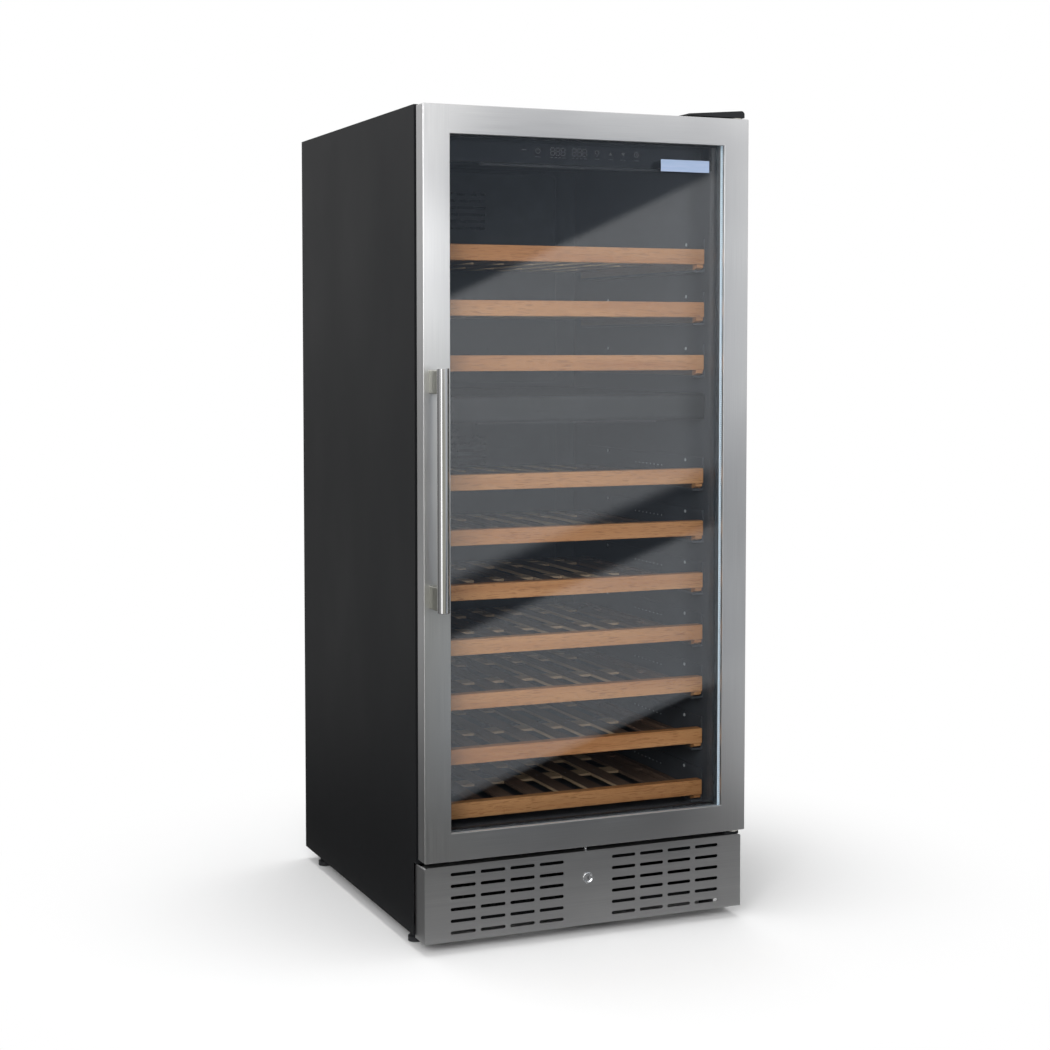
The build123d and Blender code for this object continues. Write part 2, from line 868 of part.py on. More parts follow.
# Lock bolt: a yoke plate with a cross slot, a foot over the barrel and a round pin
yoke_left = -7
yoke_right = 13
yoke_bottom = 88
arm_bottom = 113
arm_top = 117
arm_half = 4
arm_round = 3.5
yoke_round = 3
slot_play = 0.6
slot_round = 1
bolt_chamfer = 0.8
slot_left = pin_x - crank_pin - slot_play
slot_right = crank_radius + crank_pin + slot_play
slot_width = 2 * (crank_pin + crank_play)
with BuildPart() as lock_bolt:
    with BuildSketch(front_plane(yoke_front)):
        rect(yoke_left, yoke_right, yoke_bottom, arm_top)
        fillet(vertices().group_by(Axis.Y)[0], yoke_round)
        with Locations(((slot_left + slot_right) / 2, pin_z)):
            RectangleRounded(slot_right - slot_left, slot_width, slot_round, mode=Mode.SUBTRACT)
    extrude(amount=-yoke_thickness)
    with BuildSketch(Plane.XY.offset(arm_bottom)):
        rect(-arm_half, arm_half, bolt_y - arm_half, yoke_front)
        fillet(vertices().group_by(Axis.Y)[0], arm_round)
    extrude(amount=arm_top - arm_bottom)
    with BuildSketch(Plane.XY.offset(arm_bottom)):
        with Locations((0, bolt_y)):
            Circle(bolt_radius)
    extrude(amount=bolt_tip - arm_bottom)
    chamfer(lock_bolt.faces().sort_by(Axis.Z)[-1].edges(), bolt_chamfer)
finish(lock_bolt, "lock_bolt")

# Upper hinge bracket: a plate on the cabinet that reaches over the door
bracket_left = 215
bracket_right = 292
bracket_back = -215
bracket_front = -309
bracket_toe = 12
bracket_step = 6
bracket_corner = 4
screw_hole = 2.6
top_screws = ((238, -240), (274, -240), (256, -228))
with BuildPart() as top_hinge_bracket:
    with BuildSketch(Plane.XY.offset(cabinet_top)):
        outline(
            (bracket_left, bracket_back),
            (bracket_right, bracket_back),
            (bracket_right, bracket_front),
            (hinge_x - bracket_toe, bracket_front),
            (bracket_left, cabinet_front + bracket_step),
        )
        fillet(vertices(), bracket_corner)
        with Locations((hinge_x, hinge_y)):
            Circle(pin_radius, mode=Mode.SUBTRACT)
        with Locations(*top_screws):
            Circle(screw_hole, mode=Mode.SUBTRACT)
    extrude(amount=plate)
finish(top_hinge_bracket, "top_hinge_bracket")

# Upper hinge cover: a hollow cap that rises towards the door's hinge side
cover_left = 186
cover_right = 293
cover_front = -309.5
cover_back = -205
cover_low = 3.6
cover_high = 12.5
cover_wall = 1.4
cover_side_wall = 0.9
cover_front_wall = 0.5
cover_lid = 1.7
cover_shoulder = 6
cover_round = 1.2
cover_hollow = 8
hollow_left = bracket_left - cover_hollow
hollow_right = cover_right - cover_side_wall
with BuildPart() as top_hinge_cover:
    with BuildSketch(front_plane(cover_back)):
        outline(
            (cover_left, cabinet_top),
            (cover_right, cabinet_top),
            (cover_right, cabinet_top + cover_high),
            (cover_left, cabinet_top + cover_low),
        )
        fillet(vertices().sort_by(Axis.Y)[-1], cover_shoulder)
    extrude(amount=cover_back - cover_front)
    cover_rim = top_hinge_cover.faces().sort_by(Axis.Y)[0].edges().sort_by(Axis.Z)[1:]
    fillet(cover_rim, cover_round)
    with BuildSketch(front_plane(cover_back - cover_wall)):
        outline(
            (hollow_left, cabinet_top),
            (hollow_right, cabinet_top),
            (hollow_right, cabinet_top + cover_high - cover_lid),
            (hollow_left, cabinet_top + cover_low),
        )
    extrude(amount=cover_back - cover_front - cover_wall - cover_front_wall, mode=Mode.SUBTRACT)
finish(top_hinge_cover, "top_hinge_cover")

# Lower hinge bracket: an angle screwed to the front rail, with a plate under the door
lower_left = 216
lower_right = 292
lower_drop = 118
lower_reach = 20
lower_corner = 6
lower_toe = 8
lower_screws = ((232, 133), (258, 133))
with BuildPart() as bottom_hinge_bracket:
    with BuildSketch(front_plane(cabinet_front)):
        rect(lower_left, lower_right, lower_drop, lower_plate_bottom + lower_plate)
        fillet(vertices().group_by(Axis.Y)[0], lower_corner)
        with Locations(*lower_screws):
            Circle(screw_hole, mode=Mode.SUBTRACT)
    extrude(amount=plate)
    with BuildSketch(Plane.XY.offset(lower_plate_bottom)):
        rect(hinge_x - lower_reach, lower_right, bracket_front, cabinet_front)
        fillet(vertices().group_by(Axis.Y)[0], lower_toe)
        with Locations((hinge_x, hinge_y)):
            Circle(pin_radius, mode=Mode.SUBTRACT)
    extrude(amount=lower_plate)
finish(bottom_hinge_bracket, "bottom_hinge_bracket")

# Hinge pins, one in each bracket
pin_reach = 18
pin_head = 1.5
pin_head_radius = 6
with BuildPart() as hinge_pins:
    with BuildSketch(Plane.XY.offset(door_top - pin_reach)):
        with Locations((hinge_x, hinge_y)):
            Circle(pin_radius)
    extrude(amount=cabinet_top + plate - door_top + pin_reach)
    with BuildSketch(Plane.XY.offset(cabinet_top + plate)):
        with Locations((hinge_x, hinge_y)):
            Circle(pin_head_radius)
    extrude(amount=pin_head)
    with BuildSketch(Plane.XY.offset(lower_plate_bottom)):
        with Locations((hinge_x, hinge_y)):
            Circle(pin_radius)
    extrude(amount=door_bottom + pin_reach - lower_plate_bottom)
finish(hinge_pins, "hinge_pins")

# Rear cover of the machine compartment, with vents and a hole for the cord gland
cover_inset = 2
cover_lift = 4
vent_x = (-90, 70)
vent_z = 150
vent_pitch = 16
vent_rows = 9
vent_length = 110
vent_height = 6
gland_x = -215
gland_z = 175
gland_radius = 8
cover_half = panel_inner - cover_inset
with BuildPart() as compressor_cover:
    with BuildSketch(front_plane(shell_back)):
        rect(-cover_half, cover_half, cabinet_bottom + cover_lift, back_bottom)
        for x in vent_x:
            with Locations((x, vent_z)):
                with GridLocations(0, vent_pitch, 1, vent_rows):
                    SlotOverall(vent_length, vent_height, mode=Mode.SUBTRACT)
        with Locations((gland_x, gland_z)):
            Circle(gland_radius, mode=Mode.SUBTRACT)
    extrude(amount=-sheet)
finish(compressor_cover, "compressor_cover")

# Cord gland: a grommet in the rear cover
gland_flange = 4
cord_radius = 4
with BuildPart() as cord_gland:
    with BuildSketch(front_plane(shell_back)):
        with Locations((gland_x, gland_z)):
            Circle(gland_radius + gland_flange)
    extrude(amount=gland_flange)
    with BuildSketch(front_plane(shell_back)):
        with Locations((gland_x, gland_z)):
            Circle(gland_radius)
    extrude(amount=shell_back - cabinet_back)
    with BuildSketch(front_plane(cabinet_back)):
        with Locations((gland_x, gland_z)):
            Circle(cord_radius)
    extrude(amount=cabinet_back - shell_back + gland_flange, mode=Mode.SUBTRACT)
finish(cord_gland, "cord_gland")

# Levelling feet: a flared pad on a threaded stem
pad_height = 9
pad_chamfer = 1
neck_height = 15
neck_radius = 9
shoulder_radius = 10
shoulder_height = 11
stem_top = 44
feet = (
    ("front_left_foot", -foot_x, foot_front_y),
    ("front_right_foot", foot_x, foot_front_y),
    ("rear_left_foot", -foot_x, foot_rear_y),
    ("rear_right_foot", foot_x, foot_rear_y),
)
for label, x, y in feet:
    with BuildPart() as foot:
        with BuildSketch(front_plane(y)):
            outline(
                (x, 0),
                (x + foot_radius - pad_chamfer, 0),
                (x + foot_radius, pad_chamfer),
                (x + foot_radius, pad_height),
                (x + shoulder_radius, shoulder_height),
                (x + neck_radius, neck_height),
                (x + stem_radius, neck_height),
                (x + stem_radius, stem_top),
                (x, stem_top),
            )
        revolve(axis=Axis((x, y, 0), (0, 0, 1)))
    finish(foot, label)

# Door frame: a folded stainless skin with a lip round the glass
door_corner = 2
door_round = 1
lip_round = 0.8
bolt_hole = bolt_radius + 2
with BuildPart() as door_frame:
    with BuildSketch(front_plane(door_back)):
        rect(-half_width, half_width, door_bottom, door_top)
        fillet(vertices(), door_corner)
    extrude(amount=door_depth)
    fillet(door_frame.faces().sort_by(Axis.Y)[0].edges(), door_round)
    with BuildSketch(front_plane(door_back)):
        rect(-half_width + door_skin, half_width - door_skin, door_bottom + door_skin, door_top - door_skin)
    extrude(amount=door_depth - door_skin, mode=Mode.SUBTRACT)
    with BuildSketch(front_plane(pane_front)):
        rect(
            -opening_half - door_skin,
            opening_half + door_skin,
            opening_bottom - door_skin,
            opening_top + door_skin,
        )
    extrude(amount=lip_depth - door_skin)
    with BuildSketch(front_plane(pane_front)):
        rect(-opening_half, opening_half, opening_bottom, opening_top)
    extrude(amount=lip_depth, mode=Mode.SUBTRACT)
    fillet(door_frame.faces().sort_by(Axis.Y)[0].inner_wires()[0].edges(), lip_round)
    for z in (door_bottom, door_top):
        with BuildSketch(Plane.XY.offset(z - 2 * door_skin)):
            with Locations((hinge_x, hinge_y)):
                Circle(bush_radius)
        extrude(amount=4 * door_skin, mode=Mode.SUBTRACT)
    with BuildSketch(Plane.XY.offset(door_bottom - door_skin)):
        with Locations((0, bolt_y)):
            Circle(bolt_hole)
    extrude(amount=4 * door_skin, mode=Mode.SUBTRACT)
finish(door_frame, "door_frame")

# Inner frame: a black moulding inside the skin that carries the glass and the gasket
core_half = half_width - door_skin
core_bottom = door_bottom + door_skin
core_top = door_top - door_skin
pocket_half = opening_half + pane_edge
pocket_bottom = opening_bottom - pane_edge
pocket_top = opening_top + pane_edge
rear_bottom = door_bottom + half_width - inner_frame_half
rear_top = door_top - half_width + inner_frame_half
inner_chamfer = 3
bolt_well = bolt_throw + 4
with BuildPart() as door_inner_frame:
    with BuildSketch(front_plane(glass_back)):
        rect(-core_half, core_half, core_bottom, core_top)
        rect(-pocket_half, pocket_half, pocket_bottom, pocket_top, Mode.SUBTRACT)
    extrude(amount=glass_back - door_front - door_skin)
    with BuildSketch(front_plane(glass_back)):
        rect(-inner_frame_half, inner_frame_half, rear_bottom, rear_top)
        rect(
            -pocket_half + inner_frame_cover,
            pocket_half - inner_frame_cover,
            pocket_bottom + inner_frame_cover,
            pocket_top - inner_frame_cover,
            Mode.SUBTRACT,
        )
    extrude(amount=-inner_frame_depth)
    inner_edges = door_inner_frame.faces().sort_by(Axis.Y)[-1].inner_wires()[0].edges()
    chamfer(inner_edges, inner_chamfer)
    for z, reach in ((core_bottom, bush_length), (core_top, -bush_length)):
        with BuildSketch(Plane.XY.offset(z)):
            with Locations((hinge_x, hinge_y)):
                Circle(bush_radius)
        extrude(amount=reach, mode=Mode.SUBTRACT)
    with BuildSketch(Plane.XY.offset(core_bottom)):
        with Locations((0, bolt_y)):
            Circle(bolt_hole)
    extrude(amount=bolt_well, mode=Mode.SUBTRACT)
finish(door_inner_frame, "door_inner_frame")

# Double glazing: two panes and the spacer between them
panes = (("outer_glass", pane_front), ("inner_glass", pane_front + pane + pane_gap))
for label, front in panes:
    with BuildPart() as glass:
        with BuildSketch(front_plane(front + pane)):
            rect(-pocket_half, pocket_half, pocket_bottom, pocket_top)
        extrude(amount=pane)
    finish(glass, label)

with BuildPart() as glass_spacer:
    with BuildSketch(front_plane(pane_front + pane + pane_gap)):
        rect(-pocket_half, pocket_half, pocket_bottom, pocket_top)
        rect(
            -pocket_half + spacer_width,
            pocket_half - spacer_width,
            pocket_bottom + spacer_width,
            pocket_top - spacer_width,
            Mode.SUBTRACT,
        )
    extrude(amount=pane_gap)
finish(glass_spacer, "glass_spacer")

# Magnetic gasket on the inner frame
gasket_chamfer = 2
gasket_back = cabinet_front - gasket_play
gasket_bottom = rear_bottom + inner_frame_half - gasket_outer
gasket_top = rear_top - inner_frame_half + gasket_outer
with BuildPart() as door_gasket:
    with BuildSketch(front_plane(gasket_back)):
        rect(-gasket_outer, gasket_outer, gasket_bottom, gasket_top)
        rect(
            -gasket_outer + gasket_width,
            gasket_outer - gasket_width,
            gasket_bottom + gasket_width,
            gasket_top - gasket_width,
            Mode.SUBTRACT,
        )
    extrude(amount=gasket_back - inner_frame_back)
    chamfer(door_gasket.faces().sort_by(Axis.Y)[-1].edges(), gasket_chamfer)
finish(door_gasket, "door_gasket")

# Handle: a round tube with flat ends on two posts
handle_chamfer = 0.8
post_corner = 2
with BuildPart() as handle_tube:
    with BuildSketch(Plane.XY.offset(handle_bottom)):
        with Locations((handle_x, handle_y)):
            Circle(handle_radius)
    extrude(amount=handle_top - handle_bottom)
    chamfer(handle_tube.edges().filter_by(GeomType.CIRCLE), handle_chamfer)
finish(handle_tube, "handle_tube")

post_levels = (handle_bottom + post_inset, handle_top - post_inset - post_height)
with BuildPart() as handle_posts:
    for low in post_levels:
        with BuildSketch(front_plane(door_front)):
            with Locations((handle_x, low + post_height / 2)):
                RectangleRounded(post_width, post_height, post_corner)
        extrude(amount=door_front - handle_y)
    with BuildSketch(Plane.XY.offset(handle_bottom)):
        with Locations((handle_x, handle_y)):
            Circle(handle_radius)
    extrude(amount=handle_top - handle_bottom, mode=Mode.SUBTRACT)
finish(handle_posts, "handle_posts")

# Hinge bushes pressed into the door's corners, flanged where the door bears on the brackets
hinge_play = 0.3
bore_spare = 1
lower_flange = door_bottom - lower_plate_bottom - lower_plate - hinge_play
with BuildPart() as hinge_bushes:
    for z, way, flange in ((door_bottom, 1, lower_flange), (door_top, -1, bush_flange)):
        with BuildSketch(Plane.XY.offset(z)):
            with Locations((hinge_x, hinge_y)):
                Circle(bush_radius)
        extrude(amount=way * bush_length)
        with BuildSketch(Plane.XY.offset(z)):
            with Locations((hinge_x, hinge_y)):
                Circle(bush_flange_radius)
        extrude(amount=-way * flange)
        with BuildSketch(Plane.XY.offset(z - way * flange)):
            with Locations((hinge_x, hinge_y)):
                Circle(pin_radius + pin_play)
        extrude(amount=way * (flange + pin_reach + bore_spare), mode=Mode.SUBTRACT)
finish(hinge_bushes, "hinge_bushes")


def shelf(top, back):
    # Front board, side rails with tapered noses, and a deck of slats and cross rails half-lapped together.
    board_back = shelf_front + board_depth
    rail_inner = shelf_half - rail_width
    deck_bottom = top - rail_top - slat_thickness
    cross_fronts = [cross_first, back - cross_width]
    if back == shelf_back:
        cross_fronts.append(cross_first + cross_pitch)
    with BuildPart() as front_board:
        with BuildSketch(front_plane(board_back)):
            rect(-shelf_half, shelf_half, top - board_height, top)
        extrude(amount=board_depth)
        fillet(front_board.faces().sort_by(Axis.Y)[0].edges().filter_by(Axis.X), board_round)
    with BuildPart() as rails:
        for side in (-1, 1):
            with BuildSketch(Plane.YZ.offset(side * rail_inner)):
                outline(
                    (board_back, top - rail_top),
                    (back, top - rail_top),
                    (back, top - rail_bottom),
                    (shelf_front + 2 * rail_nose, top - rail_bottom),
                    (shelf_front + rail_nose / 2, top - rail_bottom + rail_nose / 2),
                    (shelf_front + rail_nose / 2, top - board_height),
                    (board_back, top - board_height),
                )
            extrude(amount=side * rail_width)
    with BuildPart() as slats:
        with BuildSketch(Plane.XY.offset(deck_bottom)):
            with Locations((0, (board_back + back) / 2)):
                with GridLocations(slat_pitch, 0, slat_count, 1):
                    Rectangle(slat_width, back - board_back)
        extrude(amount=slat_thickness)
        with BuildSketch(Plane.XY.offset(deck_bottom)):
            for front in cross_fronts:
                rect(-rail_inner, rail_inner, front, front + cross_width)
        extrude(amount=lap_depth, mode=Mode.SUBTRACT)
    with BuildPart() as cross_rails:
        with BuildSketch(Plane.XY.offset(deck_bottom)):
            for front in cross_fronts:
                rect(-rail_inner, rail_inner, front, front + cross_width)
        extrude(amount=cross_height)
        add(slats.part, mode=Mode.SUBTRACT)
    return front_board.solids() + rails.solids() + cross_rails.solids() + slats.solids()


for index, top in enumerate(shelf_tops):
    label = f"shelf_{index + 1:02d}"
    wooden_shelf = Compound(label=label, children=shelf(top, rear_end(index)))
    export_step(wooden_shelf, f"parts/{label}.step")
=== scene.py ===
import math

import bmesh
import bpy
from mathutils import Matrix, Vector


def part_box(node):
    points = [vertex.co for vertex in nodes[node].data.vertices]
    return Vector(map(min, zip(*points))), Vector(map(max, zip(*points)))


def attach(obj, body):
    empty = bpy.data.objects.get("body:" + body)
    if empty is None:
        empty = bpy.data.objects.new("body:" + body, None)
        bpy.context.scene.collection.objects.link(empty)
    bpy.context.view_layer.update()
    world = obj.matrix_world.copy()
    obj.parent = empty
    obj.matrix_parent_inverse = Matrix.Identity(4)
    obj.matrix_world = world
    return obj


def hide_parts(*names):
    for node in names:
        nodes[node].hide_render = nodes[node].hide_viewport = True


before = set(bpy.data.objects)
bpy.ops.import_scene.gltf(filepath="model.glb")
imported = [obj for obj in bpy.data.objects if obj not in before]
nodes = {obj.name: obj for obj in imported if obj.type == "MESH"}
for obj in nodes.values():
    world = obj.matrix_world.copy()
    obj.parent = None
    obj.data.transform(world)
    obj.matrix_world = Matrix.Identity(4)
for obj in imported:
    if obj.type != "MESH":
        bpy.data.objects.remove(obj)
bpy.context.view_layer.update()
mm = 0.001
scene = bpy.context.scene
print("frame loaded:", len(nodes), "nodes")


def linear(hexText):
    # sRGB hex to the linear values that shaders use
    parts = [int(hexText[i:i + 2], 16) / 255 for i in (1, 3, 5)]
    return tuple(c / 12.92 if c <= 0.04045 else ((c + 0.055) / 1.055) ** 2.4 for c in parts) + (1.0,)


white = linear("#FFFFFF")
middle = (0.3, 0.7)  # nearly all values of a noise pattern lie between these two


def addNode(tree, kind, sockets=None, **settings):
    # one node with its settings; a socket gets a number, a colour or a link from another node's output.
    # Mix takes its two numbers at sockets 2 and 3 and its two colours at 6 and 7.
    node = tree.nodes.new(kind)
    for key, value in settings.items():
        setattr(node, key, value)
    for key, value in (sockets or {}).items():
        if isinstance(value, bpy.types.NodeSocket):
            tree.links.new(value, node.inputs[key])
        else:
            node.inputs[key].default_value = value
    return node


def startMaterial(name, patterns=None, **values):
    # a material with one Principled shader, plain values on the shader's own sockets, and its noise patterns;
    # a pattern is the millimetres (x, y, z) that its features measure, then its detail and its roughness
    material = bpy.data.materials.new(name)
    material.use_nodes = True
    tree = material.node_tree
    shader = tree.nodes["Principled BSDF"]
    for key, value in values.items():
        shader.inputs[key.replace("_", " ")].default_value = value
    drawn = {"place": addNode(tree, "ShaderNodeTexCoord").outputs["Object"]}
    for key, (size, *fine) in (patterns or {}).items():
        scale = [1 / (length * mm) for length in size]
        spread = addNode(tree, "ShaderNodeMapping", {"Vector": drawn["place"], "Scale": scale})
        sockets = {"Vector": spread.outputs[0], "Scale": 1.0, **dict(zip(("Detail", "Roughness"), fine))}
        drawn[key] = addNode(tree, "ShaderNodeTexNoise", sockets).outputs["Fac"]
    return material, tree, shader, drawn


def dress(tree, shader, look, toned, glossed, raised):
    # a look's two tones over one pattern and, where it has them, its roughness over another and its relief in
    # millimetres over a third
    start, end = look.get("over", middle)
    share = addNode(tree, "ShaderNodeMapRange", {"Value": toned, "From Min": start, "From Max": end})
    first, second = [linear(tone) for tone in look["tones"]]
    colour = addNode(tree, "ShaderNodeMix", {0: share.outputs[0], 6: first, 7: second}, data_type="RGBA")
    tree.links.new(colour.outputs[2], shader.inputs["Base Color"])
    if "rough" in look:
        start, end = look.get("roughOver", middle)
        smooth, coarse = look["rough"]
        gloss = addNode(tree, "ShaderNodeMapRange", {"Value": glossed, "From Min": start, "From Max": end,
                                                     "To Min": smooth, "To Max": coarse})
        tree.links.new(gloss.outputs[0], shader.inputs["Roughness"])
    if "relief" in look:
        depth = look["relief"] * mm
        bump = addNode(tree, "ShaderNodeBump", {"Height": raised, "Distance": depth, "Strength": 1.0})
        tree.links.new(bump.outputs[0], shader.inputs["Normal"])
    return colour.outputs[2]


def evenFinish(name, look, **values):
    # a finish whose tones, roughness and relief all follow one pattern
    material, tree, shader, drawn = startMaterial(name, {"grain": (look["size"], look["detail"])}, **values)
    dress(tree, shader, look, drawn["grain"], drawn["grain"], drawn["grain"])
    return material


# brushed stainless steel, satin: long fine scratches along the sheet that spread every highlight sideways.
# The real scratches are 0.1 mm wide; they are drawn 0.7 mm wide so that they just show.
steelLook = {"tones": ("#C4C4C5", "#D1D1D1"), "over": (0.1, 0.42), "rough": (0.28, 0.36), "relief": 0.004,
             "scratch": 0.7, "length": 120, "detail": 3.0, "cloud": ((140, 140, 140), 1.0),
             "uprights": 251}  # the frame's uprights lie further out than this


def brushedSteel(name, way, **changes):
    look = {**steelLook, **changes}
    wide, long = look["scratch"], look["length"]
    sizes = {"lying": (long, wide, wide), "standing": (wide, wide, long)}
    patterns = {key: (size, look["detail"]) for key, size in sizes.items() if way in (key, "both")}
    patterns["cloud"] = look["cloud"]
    material, tree, shader, drawn = startMaterial(name, patterns, Metallic=1.0)
    if way == "both":  # the frame's rails are brushed along X and its uprights along Z
        apart = addNode(tree, "ShaderNodeSeparateXYZ", {0: drawn["place"]})
        side = addNode(tree, "ShaderNodeMath", {0: apart.outputs[0]}, operation="ABSOLUTE")
        upright = addNode(tree, "ShaderNodeMath", {0: side.outputs[0], 1: look["uprights"] * mm},
                          operation="GREATER_THAN")
        brushed = addNode(tree, "ShaderNodeMix", {0: upright.outputs[0], 2: drawn["lying"],
                                                  3: drawn["standing"]}).outputs[0]
    else:
        brushed = drawn[way]
    tone = addNode(tree, "ShaderNodeMath", {0: brushed, 1: drawn["cloud"]}, operation="MULTIPLY").outputs[0]
    dress(tree, shader, look, tone, brushed, brushed)
    return material


frameSteel = brushedSteel("brushed_stainless_frame", "both")
sheetSteel = brushedSteel("brushed_stainless_sheet", "lying")
tubeSteel = brushedSteel("brushed_stainless_tube", "standing", rough=(0.09, 0.14))  # brushed finer
# the posts are the handle's stainless steel, rougher and in darker, olive-grey tones; the darker tones are
# painted shade
shadedPostSteel = brushedSteel("stainless_post_painted_shade", "standing", rough=(0.3, 0.4), tones=("#8A8A82", "#98988F"))

# stoved black enamel on sheet steel: satin, with the faint orange peel of sprayed paint and wide wiping marks
enamelLook = {"tones": ("#111214", "#17181A"), "rough": (0.44, 0.54), "relief": 0.015,
              "patterns": {"wiped": ((260, 260, 420), 3.0), "peel": ((3, 3, 3), 1.0)}}
blackEnamel, tree, shader, drawn = startMaterial("stoved_black_enamel", enamelLook["patterns"],
                                                 Specular_IOR_Level=0.14)
dress(tree, shader, enamelLook, drawn["wiped"], drawn["wiped"], drawn["peel"])

# textured black ABS, moulded: matte, with the even grain of a spark-eroded mould, drawn at 2 mm to show
mouldLook = {"tones": ("#111214", "#1A1B1E"), "rough": (0.42, 0.54), "relief": 0.012,
             "patterns": {"drift": ((90, 90, 90), 2.0), "grit": ((2, 2, 2), 2.0)}}
blackMoulding, tree, shader, drawn = startMaterial("textured_black_abs", mouldLook["patterns"],
                                                   Specular_IOR_Level=0.3)
dress(tree, shader, mouldLook, drawn["drift"], drawn["grit"], drawn["grit"])

# smooth black ABS, vacuum formed: the lining of the cabinet, drawn in anthracite tones a little lighter than
# the black mouldings, as painted light on the cabinet's walls
linerLook = {"tones": ("#393C40", "#42464B"), "size": (35, 35, 35), "detail": 2.0, "rough": (0.40, 0.52),
             "relief": 0.08}
paintedLightLiner = evenFinish("liner_abs_painted_light", linerLook, Specular_IOR_Level=0.3)

# gloss black acrylic over the display: smooth, with faint wiping marks
panelLook = {"tones": ("#0C0D0F", "#121417"), "size": (60, 20, 9), "detail": 3.0, "rough": (0.06, 0.14)}
glossPanel = evenFinish("gloss_black_acrylic", panelLook)

# oiled beech: warm brown, with short dark flecks along the grain and slow bands of tone. Its patterns are
# millimetres along and across the grain, then detail and roughness; the fibres are drawn 1.6 mm wide so
# that they show.
beechLook = {"tones": ("#A77245", "#BB8B5B"), "over": (0.5, 0.95), "rough": (0.42, 0.58), "relief": 0.06,
             "bands": (368, 26, 3.0, 0.55), "fibres": (230, 1.6, 2.0), "flecks": (14, 1.3, 0.0),
             "fibreShare": 0.45, "fleck": "#835630", "fleckOver": (0.62, 0.70), "fleckShare": 0.55,
             "boardBack": -227, "slatPitch": 57.5, "slatHalf": 15, "deckHalf": 215,
             "slatPaintedShadeAndTone": (0.26, 0.38), "slatShadeSaturation": 0.66, "lathHighlight": "#B39C7E"}
grainWays = {"board": (True, False, False), "slat": (False, True, False)}  # along X and along Y
patterns = {}
for way, along in grainWays.items():
    for key in ("bands", "fibres", "flecks"):
        long, wide, *fine = beechLook[key]
        patterns[way, key] = ([long if runs else wide for runs in along], *fine)
beech, tree, shader, drawn = startMaterial("oiled_beech", patterns, Specular_IOR_Level=0.3)
apart = addNode(tree, "ShaderNodeSeparateXYZ", {0: drawn["place"]})
onBoard = addNode(tree, "ShaderNodeMath", {0: apart.outputs[1], 1: beechLook["boardBack"] * mm},
                  operation="LESS_THAN").outputs[0]
bands, fibres, flecks = [
    addNode(tree, "ShaderNodeMix", {0: onBoard, 2: drawn["slat", key], 3: drawn["board", key]}).outputs[0]
    for key in ("bands", "fibres", "flecks")
]
mixed = addNode(tree, "ShaderNodeMath", {0: fibres, 1: beechLook["fibreShare"], 2: bands},
                operation="MULTIPLY_ADD").outputs[0]
wood = dress(tree, shader, beechLook, mixed, fibres, fibres)
start, end = beechLook["fleckOver"]
flecked = addNode(tree, "ShaderNodeMapRange", {"Value": flecks, "From Min": start, "From Max": end,
                                               "To Max": beechLook["fleckShare"]}).outputs[0]
wood = addNode(tree, "ShaderNodeMix", {0: flecked, 6: wood, 7: linear(beechLook["fleck"])},
               data_type="RGBA").outputs[2]
# the boards keep their full tone; the slats behind them are darkened and made greyer as painted shade, each
# slat a little different at random
pitch = beechLook["slatPitch"] * mm
cell = addNode(tree, "ShaderNodeMath", {0: apart.outputs[0], 1: pitch}, operation="SNAP")
number = addNode(tree, "ShaderNodeCombineXYZ", {0: cell.outputs[0], 2: apart.outputs[2]})
eachSlat = addNode(tree, "ShaderNodeTexWhiteNoise", {"Vector": number.outputs[0]}).outputs["Value"]
dark, light = beechLook["slatPaintedShadeAndTone"]
slatPaintedShadeAndTone = addNode(tree, "ShaderNodeMapRange", {"Value": eachSlat, "To Min": dark, "To Max": light})
bright = addNode(tree, "ShaderNodeMix", {0: onBoard, 2: slatPaintedShadeAndTone.outputs[0], 3: 1.0}).outputs[0]
strength = addNode(tree, "ShaderNodeMix", {0: onBoard, 2: beechLook["slatShadeSaturation"], 3: 1.0}).outputs[0]
wood = addNode(tree, "ShaderNodeHueSaturation", {"Color": wood, "Value": bright,
                                                 "Saturation": strength}).outputs[0]
# the laths that show between the slats get a paler, greyer tone: painted highlight for the light on their
# faces
inCell = addNode(tree, "ShaderNodeMath", {0: apart.outputs[0], 1: cell.outputs[0]}, operation="SUBTRACT")
fromSlat = addNode(tree, "ShaderNodeMath", {0: inCell.outputs[0], 1: pitch / 2}, operation="SUBTRACT")
offSlat = addNode(tree, "ShaderNodeMath", {0: fromSlat.outputs[0]}, operation="ABSOLUTE")
beside = addNode(tree, "ShaderNodeMath", {0: offSlat.outputs[0], 1: beechLook["slatHalf"] * mm},
                 operation="GREATER_THAN")
side = addNode(tree, "ShaderNodeMath", {0: apart.outputs[0]}, operation="ABSOLUTE")
onDeck = addNode(tree, "ShaderNodeMath", {0: side.outputs[0], 1: beechLook["deckHalf"] * mm},
                 operation="LESS_THAN")
between = addNode(tree, "ShaderNodeMath", {0: beside.outputs[0], 1: onDeck.outputs[0]}, operation="MULTIPLY")
onLath = addNode(tree, "ShaderNodeMath", {0: between.outputs[0], 1: onBoard}, operation="SUBTRACT",
                 use_clamp=True)
wood = addNode(tree, "ShaderNodeMix", {0: onLath.outputs[0], 6: wood, 7: linear(beechLook["lathHighlight"])},
               data_type="RGBA").outputs[2]
tree.links.new(wood, shader.inputs["Base Color"])

